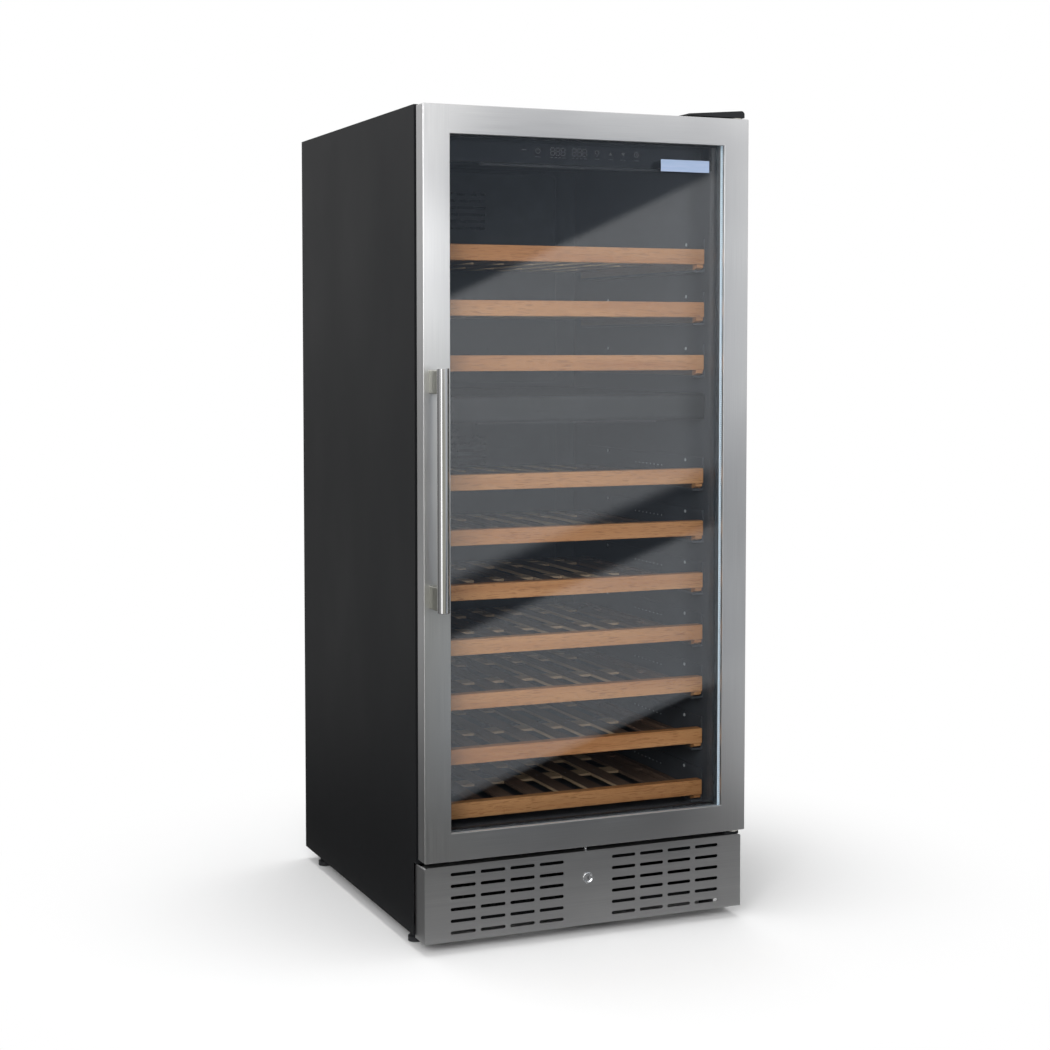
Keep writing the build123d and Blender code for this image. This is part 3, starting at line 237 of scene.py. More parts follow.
# float glass: almost clear, with the plain mirror of its faces, stronger at a slant from either side
glassLook = {"tones": ("#FDFDFD", "#FEFEFE"), "cloud": ((300, 300, 300), 1.0), "index": 1.54, "slant": 5}
glass, tree, shader, drawn = startMaterial("clear_float_glass", {"cloud": glassLook["cloud"]})
tree.nodes.remove(shader)
start, end = middle
share = addNode(tree, "ShaderNodeMapRange", {"Value": drawn["cloud"], "From Min": start, "From Max": end})
first, second = [linear(tone) for tone in glassLook["tones"]]
tint = addNode(tree, "ShaderNodeMix", {0: share.outputs[0], 6: first, 7: second}, data_type="RGBA")
through = addNode(tree, "ShaderNodeBsdfTransparent", {"Color": tint.outputs[2]})
mirror = addNode(tree, "ShaderNodeBsdfGlossy", {"Color": white, "Roughness": 0.0})
straight = ((glassLook["index"] - 1) / (glassLook["index"] + 1)) ** 2  # mirrored when looked at squarely
facing = addNode(tree, "ShaderNodeLayerWeight", {"Blend": 0.5}).outputs["Facing"]  # 0 squarely, 1 at a graze
slanted = addNode(tree, "ShaderNodeMath", {0: facing, 1: glassLook["slant"]}, operation="POWER")
mirrored = addNode(tree, "ShaderNodeMapRange", {"Value": slanted.outputs[0], "To Min": straight,
                                                "To Max": 1.0})
both = addNode(tree, "ShaderNodeMixShader", {0: mirrored.outputs[0], 1: through.outputs[0],
                                             2: mirror.outputs[0]})
tree.links.new(both.outputs[0], tree.nodes["Material Output"].inputs["Surface"])

# zinc coated steel: dull, with the patchwork of zinc crystals about 9 mm across
zincLook = {"tones": ("#8D9194", "#A5A9AC"), "over": (0.0, 1.0), "rough": (0.38, 0.52),
            "roughOver": (0.0, 1.0), "crystal": 9}
zincSteel, tree, shader, drawn = startMaterial("zinc_coated_steel", Metallic=0.9)
spangle = addNode(tree, "ShaderNodeTexVoronoi", {"Vector": drawn["place"],
                                                 "Scale": 1 / (zincLook["crystal"] * mm)})
patch = addNode(tree, "ShaderNodeTexWhiteNoise", {"Vector": spangle.outputs["Position"]}).outputs["Value"]
dress(tree, shader, zincLook, patch, patch, patch)

# mill aluminium: bright rolled sheet with fine lines, drawn 0.9 mm wide so that they show
aluminiumLook = {"tones": ("#A9ABAE", "#C9CBCE"), "size": (0.9, 60, 60), "detail": 2.0, "rough": (0.28, 0.40),
                 "relief": 0.03}
finAluminium = evenFinish("mill_aluminium", aluminiumLook, Metallic=1.0)

# perforated aluminium between the panes: an even pale blue line with small dark holes. The real holes are
# under 1 mm across; they are drawn longer, wider and further apart so that they show.
spacerLook = {"bright": "#DDF1FF", "hole": "#86A3B8", "apart": 3.8, "long": 1.33, "wide": 4.4, "row": -299}
spacerMetal, tree, shader, drawn = startMaterial("perforated_aluminium", Roughness=0.35)
apart = addNode(tree, "ShaderNodeSeparateXYZ", {0: drawn["place"]})
run = addNode(tree, "ShaderNodeMath", {0: apart.outputs[0], 1: apart.outputs[2]}, operation="ADD")
turn = addNode(tree, "ShaderNodeMath", {0: run.outputs[0], 1: spacerLook["apart"] / 2 * mm},
               operation="PINGPONG")
onHole = addNode(tree, "ShaderNodeMath", {0: turn.outputs[0], 1: spacerLook["long"] / 2 * mm},
                 operation="LESS_THAN")
fromRow = addNode(tree, "ShaderNodeMath", {0: apart.outputs[1], 1: spacerLook["row"] * mm},
                  operation="SUBTRACT")
offRow = addNode(tree, "ShaderNodeMath", {0: fromRow.outputs[0]}, operation="ABSOLUTE")
onRow = addNode(tree, "ShaderNodeMath", {0: offRow.outputs[0], 1: spacerLook["wide"] / 2 * mm},
                operation="LESS_THAN")
hole = addNode(tree, "ShaderNodeMath", {0: onRow.outputs[0], 1: onHole.outputs[0]}, operation="MULTIPLY")
pierced = addNode(tree, "ShaderNodeMix", {0: hole.outputs[0], 6: linear(spacerLook["bright"]),
                                          7: linear(spacerLook["hole"])}, data_type="RGBA")
tree.links.new(pierced.outputs[2], shader.inputs["Base Color"])

# drawn copper tube: warm, with darker oxide patches from brazing
copperLook = {"tones": ("#C07C55", "#7A4630"), "over": (0.45, 0.75), "size": (22, 22, 22), "detail": 4.0,
              "rough": (0.25, 0.48)}
copperTube = evenFinish("drawn_copper", copperLook, Metallic=1.0)

# bright zinc plate on screws and rivets: pale grey, a little milky, so that small heads show as light dots
fixingLook = {"tones": ("#A4A9AD", "#BFC4C8"), "size": (1.5, 1.5, 1.5), "detail": 2.0}
brightZinc = evenFinish("bright_zinc_plate", fixingLook, Metallic=0.35, Roughness=0.3)

# soft black rubber: matte, faintly dusty
rubberLook = {"tones": ("#0B0C0D", "#151617"), "size": (2, 2, 2), "detail": 3.0, "rough": (0.62, 0.8),
              "relief": 0.03}
softRubber = evenFinish("soft_black_rubber", rubberLook, Specular_IOR_Level=0.15)

# natural nylon: milky, with faint flow lines from the mould
nylonLook = {"tones": ("#A9A79E", "#C2C0B8"), "size": (7, 7, 20), "detail": 2.0, "rough": (0.38, 0.5)}
bushNylon = evenFinish("natural_nylon", nylonLook)

# rigid polyurethane foam: cream, with open cells about 3 mm across where it is cut
foamLook = {"tones": ("#B59F6A", "#D8C79A"), "over": (0.1, 0.6), "relief": 0.6, "cell": 3}
rigidFoam, tree, shader, drawn = startMaterial("rigid_foam", Roughness=0.85)
cells = addNode(tree, "ShaderNodeTexVoronoi", {"Vector": drawn["place"],
                                               "Scale": 1 / (foamLook["cell"] * mm)})
fromCell = cells.outputs["Distance"]
dress(tree, shader, foamLook, fromCell, fromCell, fromCell)

# smoked polycarbonate light cover, dark while the lamp is off, with fine ribs 2.5 mm apart
lensLook = {"tones": ("#1D2024", "#2B2F34"), "over": (0.0, 1.0), "rough": (0.28, 0.4),
            "roughOver": (0.0, 1.0), "relief": 0.2, "rib": 2.5}
lightLens, tree, shader, drawn = startMaterial("smoked_polycarbonate")
ribScale = 2 * math.pi / (20 * lensLook["rib"] * mm)  # at a scale of 1 the wave has 20 radians to the metre
ribs = addNode(tree, "ShaderNodeTexWave", {"Vector": drawn["place"], "Scale": ribScale},
               bands_direction="X").outputs["Fac"]
dress(tree, shader, lensLook, ribs, ribs, ribs)

# polished nickel-chrome plate: mirror bright, with faint polishing haze
chromeLook = {"tones": ("#EDEEF0", "#DCDEE1"), "size": (4, 4, 4), "detail": 3.0, "rough": (0.05, 0.12)}
brightChrome = evenFinish("polished_chrome", chromeLook, Metallic=1.0)

# pale lacquered aluminium of the bare plate: satin, slightly blue
plateLook = {"tones": ("#8DA0BC", "#97A6C1"), "size": (40, 10, 4), "detail": 2.0, "rough": (0.36, 0.46)}
plateLacquer = evenFinish("pale_lacquered_plate", plateLook)

# pale grey screen ink on the touch panel: matte, uneven from the mesh, with a faint glow that is painted
# light
inkLook = {"tones": ("#C4CACF", "#E6EAEC"), "size": (0.7, 0.7, 0.7), "detail": 1.0}
screenInk = evenFinish("grey_screen_ink", inkLook, Roughness=0.5, Emission_Strength=0.1)

# black lacquer on the condenser's fins: thin, with runs down the fins that make its tone and gloss uneven
lacquerLook = {"tones": ("#0D0E0F", "#1D1F21"), "size": (6, 6, 40), "detail": 3.0, "rough": (0.4, 0.6)}
finLacquer = evenFinish("black_fin_lacquer", lacquerLook)
print("materials made")

shelfNames = [f"shelf_{i:02d}" for i in range(1, 11)]
finishes = {
    blackEnamel: ["left_side_panel", "right_side_panel", "top_panel", "compressor", "base_pan",
                  "front_rail", "bottom_hinge_bracket", "top_hinge_bracket"],
    zincSteel: ["back_panel", "compressor_cover", "hinge_pins"],
    rigidFoam: ["insulation_foam"],
    paintedLightLiner: ["inner_liner", "upper_duct_cover", "lower_duct_cover", "shelf_runners"],
    blackMoulding: ["zone_divider", "evaporator_fan_frames", "condenser_fan_frame", "upper_fan_rotor",
                    "lower_fan_rotor", "condenser_fan_rotor", "drip_tray", "control_box", "top_hinge_cover",
                    "door_inner_frame", "front_left_foot", "front_right_foot", "rear_left_foot",
                    "rear_right_foot"],
    glossPanel: ["control_panel"],
    lightLens: ["light_strips"],
    finAluminium: ["evaporators"],
    finLacquer: ["condenser"],
    spacerMetal: ["glass_spacer"],
    copperTube: ["refrigerant_pipes"],
    softRubber: ["compressor_grommets", "cord_gland", "door_gasket"],
    bushNylon: ["hinge_bushes"],
    glass: ["outer_glass", "inner_glass"],
    frameSteel: ["door_frame"],
    sheetSteel: ["kick_grille"],
    tubeSteel: ["handle_tube"],
    shadedPostSteel: ["handle_posts"],
    brightChrome: ["lock_housing", "lock_plug", "lock_bolt", "lock_cam"],
    beech: shelfNames,
}
for material, names in finishes.items():
    for name in names:
        for slot in nodes[name].material_slots:
            slot.material = material
unfinished = sorted(set(nodes) - {name for names in finishes.values() for name in names})
print("finishes set; nodes left over:", unfinished)

weldDistance = 1e-6  # metres


def makePiece(name, bm, material, body, crease=35):
    # closes a bmesh into a named piece that rides on a body; edges sharper than crease degrees stay sharp
    bmesh.ops.remove_doubles(bm, verts=bm.verts, dist=weldDistance)
    bmesh.ops.recalc_face_normals(bm, faces=bm.faces)
    mesh = bpy.data.meshes.new(name)
    bm.to_mesh(mesh)
    bm.free()
    mesh.materials.append(material)
    mesh.shade_smooth()
    mesh.set_sharp_from_angle(angle=math.radians(crease))
    piece = bpy.data.objects.new(name, mesh)
    scene.collection.objects.link(piece)
    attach(piece, body)
    return piece


# the form of every small head, as shares of its height and radius
headForm = {"wall": 0.6, "crown": 0.4, "crownIn": 0.25, "recessIn": 0.3, "recessTaper": 0.06,
            "recessDeep": 0.6}


def headTemplate(name, radius, height, sides, recess):
    # a low head: a disc raised, rounded off by an inset, and for a screw a driver's recess in the middle
    bm = bmesh.new()
    made = bmesh.ops.create_circle(bm, cap_ends=True, segments=sides, radius=radius * mm)["verts"]
    top = made[0].link_faces[0]
    grown = bmesh.ops.extrude_face_region(bm, geom=[top])
    top = [f for f in grown["geom"] if isinstance(f, bmesh.types.BMFace)][0]
    bmesh.ops.translate(bm, vec=(0, 0, height * headForm["wall"] * mm), verts=top.verts)
    bmesh.ops.inset_region(bm, faces=[top], thickness=radius * headForm["crownIn"] * mm,
                           depth=height * headForm["crown"] * mm)
    if recess:
        bmesh.ops.inset_region(bm, faces=[top], thickness=radius * headForm["recessIn"] * mm, depth=0.0)
        bmesh.ops.inset_region(bm, faces=[top], thickness=radius * headForm["recessTaper"] * mm,
                               depth=-height * headForm["recessDeep"] * mm)
    bmesh.ops.recalc_face_normals(bm, faces=bm.faces)
    mesh = bpy.data.meshes.new(name)
    bm.to_mesh(mesh)
    bm.free()
    return mesh


def stamp(bm, template, point, facing):
    # copies a template to a point in millimetres, with its top turned to face a direction
    count = len(bm.verts)
    bm.from_mesh(template)
    bm.verts.ensure_lookup_table()
    turn = Vector((0, 0, 1)).rotation_difference(Vector(facing)).to_matrix().to_4x4()
    bmesh.ops.transform(bm, matrix=Matrix.Translation(Vector(point) * mm) @ turn, verts=bm.verts[count:])


# the shelves' upper edges, from the top one down
shelfRows = {"upperTop": 1170.4, "upper": 3, "lowerTop": 787, "lower": 7, "pitch": 92.2}
shelfTops = [shelfRows[zone + "Top"] - shelfRows["pitch"] * i
             for zone in ("upper", "lower") for i in range(shelfRows[zone])]
lowestTop = shelfTops[-1]  # the lowest shelf is short, in front of the machine compartment's step

# screws and rivets on the shelf runners, both walls
runnerFix = {"wall": 253.0, "screwAt": (-173, 150), "shortScrewAt": (-173,), "screwUp": 11, "radius": 3.0,
             "height": 1.6, "sides": 12, "rivets": 8, "rivetFrom": -80, "rivetTo": 28, "rivetDown": 3.5,
             "rivetRadius": 1.3, "rivetHeight": 0.8, "rivetSides": 8}
screwHead = headTemplate("screw_head", runnerFix["radius"], runnerFix["height"], runnerFix["sides"], True)
rivetHead = headTemplate("rivet_head", runnerFix["rivetRadius"], runnerFix["rivetHeight"],
                         runnerFix["rivetSides"], False)
rivetGap = (runnerFix["rivetTo"] - runnerFix["rivetFrom"]) / (runnerFix["rivets"] - 1)
bm = bmesh.new()
for top in shelfTops:
    for side in (-1, 1):
        wall, inwards = side * runnerFix["wall"], (-side, 0, 0)
        for y in runnerFix["shortScrewAt" if top == lowestTop else "screwAt"]:
            stamp(bm, screwHead, (wall, y, top + runnerFix["screwUp"]), inwards)
        for i in range(runnerFix["rivets"]):
            y = runnerFix["rivetFrom"] + rivetGap * i
            stamp(bm, rivetHead, (wall, y, top - runnerFix["rivetDown"]), inwards)
makePiece("runner_screws", bm, brightZinc, "cabinet")

# brads that hold the slats on the cross rails
bradFix = {"radius": 1.7, "height": 0.5, "sides": 8, "slats": 8, "pitch": beechLook["slatPitch"],
           "rails": (-20, 168, 225), "shortRails": (-20, 100), "down": 19}
bradHead = headTemplate("brad_head", bradFix["radius"], bradFix["height"], bradFix["sides"], False)
for shelfName, top in zip(shelfNames, shelfTops):
    bm = bmesh.new()
    for y in bradFix["shortRails" if top == lowestTop else "rails"]:
        for i in range(bradFix["slats"]):
            x = (i - (bradFix["slats"] - 1) / 2) * bradFix["pitch"]
            stamp(bm, bradHead, (x, y, top - bradFix["down"]), (0, 0, 1))
    makePiece(shelfName + "_brads", bm, zincSteel, shelfName)

# flat-headed screws along the rear panel and the rear cover
rearFix = {"x": 285, "low": 268, "high": 1372, "rows": 6, "across": (-190, 0, 190), "back": 364.0,
           "cover": (-280, 280), "coverZ": (45, 225), "radius": 3.6, "height": 0.9, "sides": 12}
rearHead = headTemplate("rear_screw_head", rearFix["radius"], rearFix["height"], rearFix["sides"], True)
bm = bmesh.new()
for row in range(rearFix["rows"]):
    z = rearFix["low"] + (rearFix["high"] - rearFix["low"]) * row / (rearFix["rows"] - 1)
    for side in (-1, 1):
        stamp(bm, rearHead, (side * rearFix["x"], rearFix["back"], z), (0, 1, 0))
for x in rearFix["across"]:
    for z in (rearFix["low"], rearFix["high"]):
        stamp(bm, rearHead, (x, rearFix["back"], z), (0, 1, 0))
for x in rearFix["cover"]:
    for z in rearFix["coverZ"]:
        stamp(bm, rearHead, (x, rearFix["back"], z), (0, 1, 0))
makePiece("rear_screws", bm, brightZinc, "cabinet")

# screws of the lower hinge
hingeFix = {"points": ((232, 133), (258, 133)), "front": -276.0}
bm = bmesh.new()
for x, z in hingeFix["points"]:
    stamp(bm, screwHead, (x, hingeFix["front"], z), (0, -1, 0))
makePiece("hinge_screws", bm, zincSteel, "cabinet")
for template in (screwHead, rivetHead, bradHead, rearHead):
    bpy.data.meshes.remove(template)
print("fasteners made")

# bare plate on the outer pane: a bevelled block whose face is stepped in behind a rim
plateForm = {"left": 132, "right": 224, "low": 1296.5, "high": 1316.5, "back": -309.02, "thick": 0.9,
             "bevel": 0.25, "rim": 0.9, "step": 0.15, "crease": 20}
plateSize = (plateForm["right"] - plateForm["left"], plateForm["thick"], plateForm["high"] - plateForm["low"])
plateCentre = ((plateForm["left"] + plateForm["right"]) / 2, plateForm["back"] - plateForm["thick"] / 2,
               (plateForm["low"] + plateForm["high"]) / 2)
bm = bmesh.new()
made = bmesh.ops.create_cube(bm, size=1.0)["verts"]
bmesh.ops.scale(bm, vec=Vector(plateSize) * mm, verts=made)
bmesh.ops.translate(bm, vec=Vector(plateCentre) * mm, verts=made)
bmesh.ops.bevel(bm, geom=bm.edges[:], offset=plateForm["bevel"] * mm, offset_type="OFFSET", affect="EDGES",
                segments=2, profile=0.5, material=-1)
face = min(bm.faces, key=lambda f: f.normal.y)
bmesh.ops.inset_region(bm, faces=[face], thickness=plateForm["rim"] * mm, depth=0.0)
bmesh.ops.inset_region(bm, faces=[face], thickness=plateForm["step"] * mm, depth=-plateForm["step"] * mm)
makePiece("bare_plate", bm, plateLacquer, "door", plateForm["crease"])

# printed marks and the digits' segments on the control strip, all in one thin film
marks = {"front": -260.0, "film": 0.12, "line": 0.9, "z": 1327, "arcSteps": 20,
         "digits": {"starts": (-46.2, -6.4), "count": 3, "gap": 9.6, "wide": 7.0, "tall": 12.0,
                    "lyingTrim": 1.6, "standingTrim": 1.4},
         "digitDashes": {"count": 4, "left": 2, "gap": 7.6, "down": 10, "wide": 5.6, "tall": 0.6},
         "power": {"x": -73, "radius": 3.6, "start": 120, "sweep": 300, "barUp": 3.2, "barTall": 4.2},
         "bulb": {"x": 36, "up": 1.2, "radius": 2.9, "start": -60, "sweep": 300, "capsDown": (3.2, 4.6),
                  "capWide": 3.0, "capTall": 0.7},
         "arrows": {"ways": {61: 1, 85: -1}, "bars": 4, "rise": 1.2, "down": 1.8, "wide": 6.4,
                    "narrowing": 1.8},
         "mode": {"x": 110, "radius": 3.4, "start": 0, "sweep": 360, "barTall": 3.6},
         "signDashes": {"count": 3, "left": 3.4, "gap": 3.4, "down": 9.6, "wide": 2.3, "tall": 0.6},
         "endDashes": {"x": -99.3, "count": 4, "left": 2.2, "gap": 2.2, "down": -1, "wide": 1.4, "tall": 1.6}}


def addBar(bm, x, z, wide, tall):
    # one flat bar of the print, from a grid that is 1 wide
    made = bmesh.ops.create_grid(bm, x_segments=1, y_segments=1, size=0.5)["verts"]
    bmesh.ops.scale(bm, vec=(wide * mm, tall * mm, 1), verts=made)
    upright = Matrix.Rotation(math.pi / 2, 4, "X")
    moved = Matrix.Translation((x * mm, marks["front"] * mm, z * mm))
    bmesh.ops.transform(bm, matrix=moved @ upright, verts=made)


def addDashes(bm, x, row):
    # a row of short bars that starts to the left of x
    for i in range(row["count"]):
        addBar(bm, x - row["left"] + row["gap"] * i, marks["z"] - row["down"], row["wide"], row["tall"])


def addArc(bm, x, z, sign):
    # one curved stroke, spun from a short edge
    start, sweep = math.radians(sign["start"]), math.radians(sign["sweep"])
    ends = []
    for radius in (sign["radius"], sign["radius"] + marks["line"]):
        end = (x + math.cos(start) * radius, marks["front"], z + math.sin(start) * radius)
        ends.append(bm.verts.new([value * mm for value in end]))
    edge = bm.edges.new(ends)
    bmesh.ops.spin(bm, geom=[*ends, edge], cent=(x * mm, marks["front"] * mm, z * mm), axis=(0, -1, 0),
                   angle=sweep, steps=marks["arcSteps"], use_merge=sign["sweep"] == 360)


def addDigit(bm, x, z):
    # the seven segments of one digit
    digit, line = marks["digits"], marks["line"]
    wide, tall = digit["wide"], digit["tall"]
    for up in (-tall / 2, 0, tall / 2):
        addBar(bm, x, z + up, wide - digit["lyingTrim"], line)
    for right in (-wide / 2, wide / 2):
        for up in (-tall / 4, tall / 4):
            addBar(bm, x + right, z + up, line, tall / 2 - digit["standingTrim"])


bm = bmesh.new()
line, z = marks["line"], marks["z"]
for start in marks["digits"]["starts"]:
    for i in range(marks["digits"]["count"]):
        addDigit(bm, start + marks["digits"]["gap"] * i, z)
    addDashes(bm, start, marks["digitDashes"])
power = marks["power"]
addArc(bm, power["x"], z, power)
addBar(bm, power["x"], z + power["barUp"], line, power["barTall"])
bulb = marks["bulb"]
addArc(bm, bulb["x"], z + bulb["up"], bulb)
for down in bulb["capsDown"]:
    addBar(bm, bulb["x"], z - down, bulb["capWide"], bulb["capTall"])
arrows = marks["arrows"]
for x, way in arrows["ways"].items():
    for i in range(arrows["bars"]):
        up = way * (arrows["rise"] * i - arrows["down"])
        addBar(bm, x, z + up, arrows["wide"] - arrows["narrowing"] * i, line)
mode = marks["mode"]
addArc(bm, mode["x"], z, mode)
addBar(bm, mode["x"], z, line, mode["barTall"])
for x in (power["x"], bulb["x"], *arrows["ways"], mode["x"]):
    addDashes(bm, x, marks["signDashes"])
addDashes(bm, marks["endDashes"]["x"], marks["endDashes"])
bmesh.ops.recalc_face_normals(bm, faces=bm.faces)
bmesh.ops.solidify(bm, geom=bm.faces[:], thickness=marks["film"] * mm)
makePiece("display_marks", bm, screenInk, "cabinet")
print("plate and prints made")

# bellows gasket: loops of its profile round the door, joined into folds. A fold is (inset, depth) from the
# gasket's outer edge and its front; past the crown in the middle the folds repeat as a mirror image.
gasketForm = {"outer": 279, "wide": 16, "crown": (8.0, 7.3), "crease": 50,
              "folds": ((0.6, 0.0), (0.6, 0.8), (2.4, 1.6), (0.4, 3.0), (0.4, 4.4), (1.6, 5.4), (0.0, 6.6),
                        (1.0, 7.7))}


def addGasket(bm, low, high):
    folds = gasketForm["folds"]
    mirrored = [(gasketForm["wide"] - inset, depth) for inset, depth in reversed(folds)]
    loops = []
    for inset, depth in (*folds, gasketForm["crown"], *mirrored):
        side, bottom, top = gasketForm["outer"] - inset, low.z / mm + inset, high.z / mm - inset
        y = low.y / mm + depth
        places = ((-side, y, bottom), (side, y, bottom), (side, y, top), (-side, y, top))
        corners = [bm.verts.new(Vector(place) * mm) for place in places]
        loops.append([bm.edges.new(pair) for pair in zip(corners, corners[1:] + corners[:1])])
    for first, second in zip(loops, loops[1:] + loops[:1]):
        bmesh.ops.bridge_loops(bm, edges=first + second)


low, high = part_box("door_gasket")
bm = bmesh.new()
addGasket(bm, low, high)
gasket = makePiece("bellows_gasket", bm, softRubber, "door", gasketForm["crease"])
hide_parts("door_gasket")
print("gasket made")

# floor: pale and plain, fading into the white of the room away from the object; sizes in metres
floorLook = {"pale": "#F4F4F4", "radius": 14, "sides": 64, "fadeFrom": 0.36, "fadeTo": 1.05}
bm = bmesh.new()
bmesh.ops.create_circle(bm, cap_ends=True, segments=floorLook["sides"], radius=floorLook["radius"])
mesh = bpy.data.meshes.new("studio_floor")
bm.to_mesh(mesh)
bm.free()
floor = bpy.data.objects.new("studio_floor", mesh)
scene.collection.objects.link(floor)
floorMaterial, tree, shader, drawn = startMaterial("pale_floor")
tree.nodes.remove(shader)
reach = addNode(tree, "ShaderNodeVectorMath", {0: drawn["place"]}, operation="LENGTH").outputs["Value"]
fade = addNode(tree, "ShaderNodeMapRange", {"Value": reach, "From Min": floorLook["fadeFrom"],
                                            "From Max": floorLook["fadeTo"]}, interpolation_type="SMOOTHSTEP")
rays = addNode(tree, "ShaderNodeLightPath").outputs
seen = addNode(tree, "ShaderNodeMath", {0: rays["Is Camera Ray"], 1: rays["Is Transmission Ray"]},
               operation="MAXIMUM")
share = addNode(tree, "ShaderNodeMath", {0: fade.outputs[0], 1: seen.outputs[0]}, operation="MULTIPLY")
matt = addNode(tree, "ShaderNodeBsdfDiffuse", {"Color": linear(floorLook["pale"])})
glow = addNode(tree, "ShaderNodeEmission", {"Color": white, "Strength": 1.0})
both = addNode(tree, "ShaderNodeMixShader", {0: share.outputs[0], 1: matt.outputs[0], 2: glow.outputs[0]})
tree.links.new(both.outputs[0], tree.nodes["Material Output"].inputs["Surface"])
floor.data.materials.append(floorMaterial)


def addCard(name, corners, cloth, light):
    # a flat card that only mirrors see; light works out its glow from the cloth's settings and the place
    bm = bmesh.new()
    bm.faces.new([bm.verts.new(corner) for corner in corners])
    mesh = bpy.data.meshes.new(name)
    bm.to_mesh(mesh)
    bm.free()
    holder = bpy.data.objects.new(name, mesh)
    scene.collection.objects.link(holder)
    for ray in ("camera", "diffuse", "transmission", "volume_scatter", "shadow"):
        setattr(holder, "visible_" + ray, False)
    material, tree, shader, drawn = startMaterial(name + "_cloth")
    tree.nodes.remove(shader)
    axes = addNode(tree, "ShaderNodeSeparateXYZ", {0: drawn["place"]}).outputs
    glow = addNode(tree, "ShaderNodeEmission", {"Color": light(tree, cloth, axes), "Strength": 1.0})
    tree.links.new(glow.outputs[0], tree.nodes["Material Output"].inputs["Surface"])
    mesh.materials.append(material)


def lightAlong(tree, value, levels):
    # light that changes along a line, through the given points of (place, level)
    start, end = levels[0][0], levels[-1][0]
    peak = max(level for place, level in levels)
    share = addNode(tree, "ShaderNodeMapRange", {"Value": value, "From Min": start, "From Max": end})
    curve = addNode(tree, "ShaderNodeFloatCurve", {"Value": share.outputs[0]})
    points = curve.mapping.curves[0].points
    for place, level in levels[1:-1]:
        points.new((place - start) / (end - start), level / peak)
    points[0].location = (0.0, levels[0][1] / peak)
    points[-1].location = (1.0, levels[-1][1] / peak)
    curve.mapping.update()
    return addNode(tree, "ShaderNodeMath", {0: curve.outputs[0], 1: peak}, operation="MULTIPLY").outputs[0]


# reflector card in front of the door, in metres: slanting bands where the glass mirrors it, and round them a
# surround that falls from white at the top to dark at the bottom for the steel, with a white panel at the
# left for the line of light along the handle. A line is (slope, start, softness), an edge (start, softness),
# a tone (low, high, from, to), and the rim (from, to, dimmed level).
doorCard = {"y": -1.05, "x": (-2.2, 2.8), "z": (0.004, 2.4),
            "lit": ("#B0B6BD", "#D6DBE1", 0.1, 1.2), "upper": ("#646C76", "#7D8590", 0.05, 0.6),
            "warm": ("#FFFEF0", "#FFFFFF", 0.8, 1.05), "mid": "#545B64", "lower": "#15181C",
            "lines": ((0.3335, 0.0499, 0.005), (0.3499, 0.3875, 0.008), (0.3547, 0.5067, 0.020),
                      (0.4461, 1.0835, 0.012)),
            "rim": (0.57, 0.60, 0.75),
            "edges": {"left": (0.010, 0.02), "right": (0.675, 0.02), "top": (1.46, 0.02),
                      "middle": (0.35, 0.02), "far": (1.2, 0.08), "grip": (-0.2, 0.06),
                      "panelFrom": (-1.42, 0.06), "panelTo": (-0.90, 0.06)},
            "surround": ((0.0, 0.06), (0.25, 0.12), (0.45, 0.26), (0.75, 0.52), (1.05, 1.45), (1.25, 2.5),
                         (1.37, 0.68), (1.6, 1.2), (2.4, 0.6)),
            "surroundRight": ((0.0, 1.05), (0.25, 0.8), (0.45, 0.53), (0.75, 0.67), (1.05, 1.12),
                              (1.25, 1.12), (1.45, 1.3), (2.4, 0.75)),
            "gripLevels": ((0.0, 0.3), (0.5, 0.43), (0.95, 0.47), (1.15, 1.8), (1.3, 2.8), (2.4, 1.0)),
            "farLevel": 0.16, "panelLevel": 2.4}


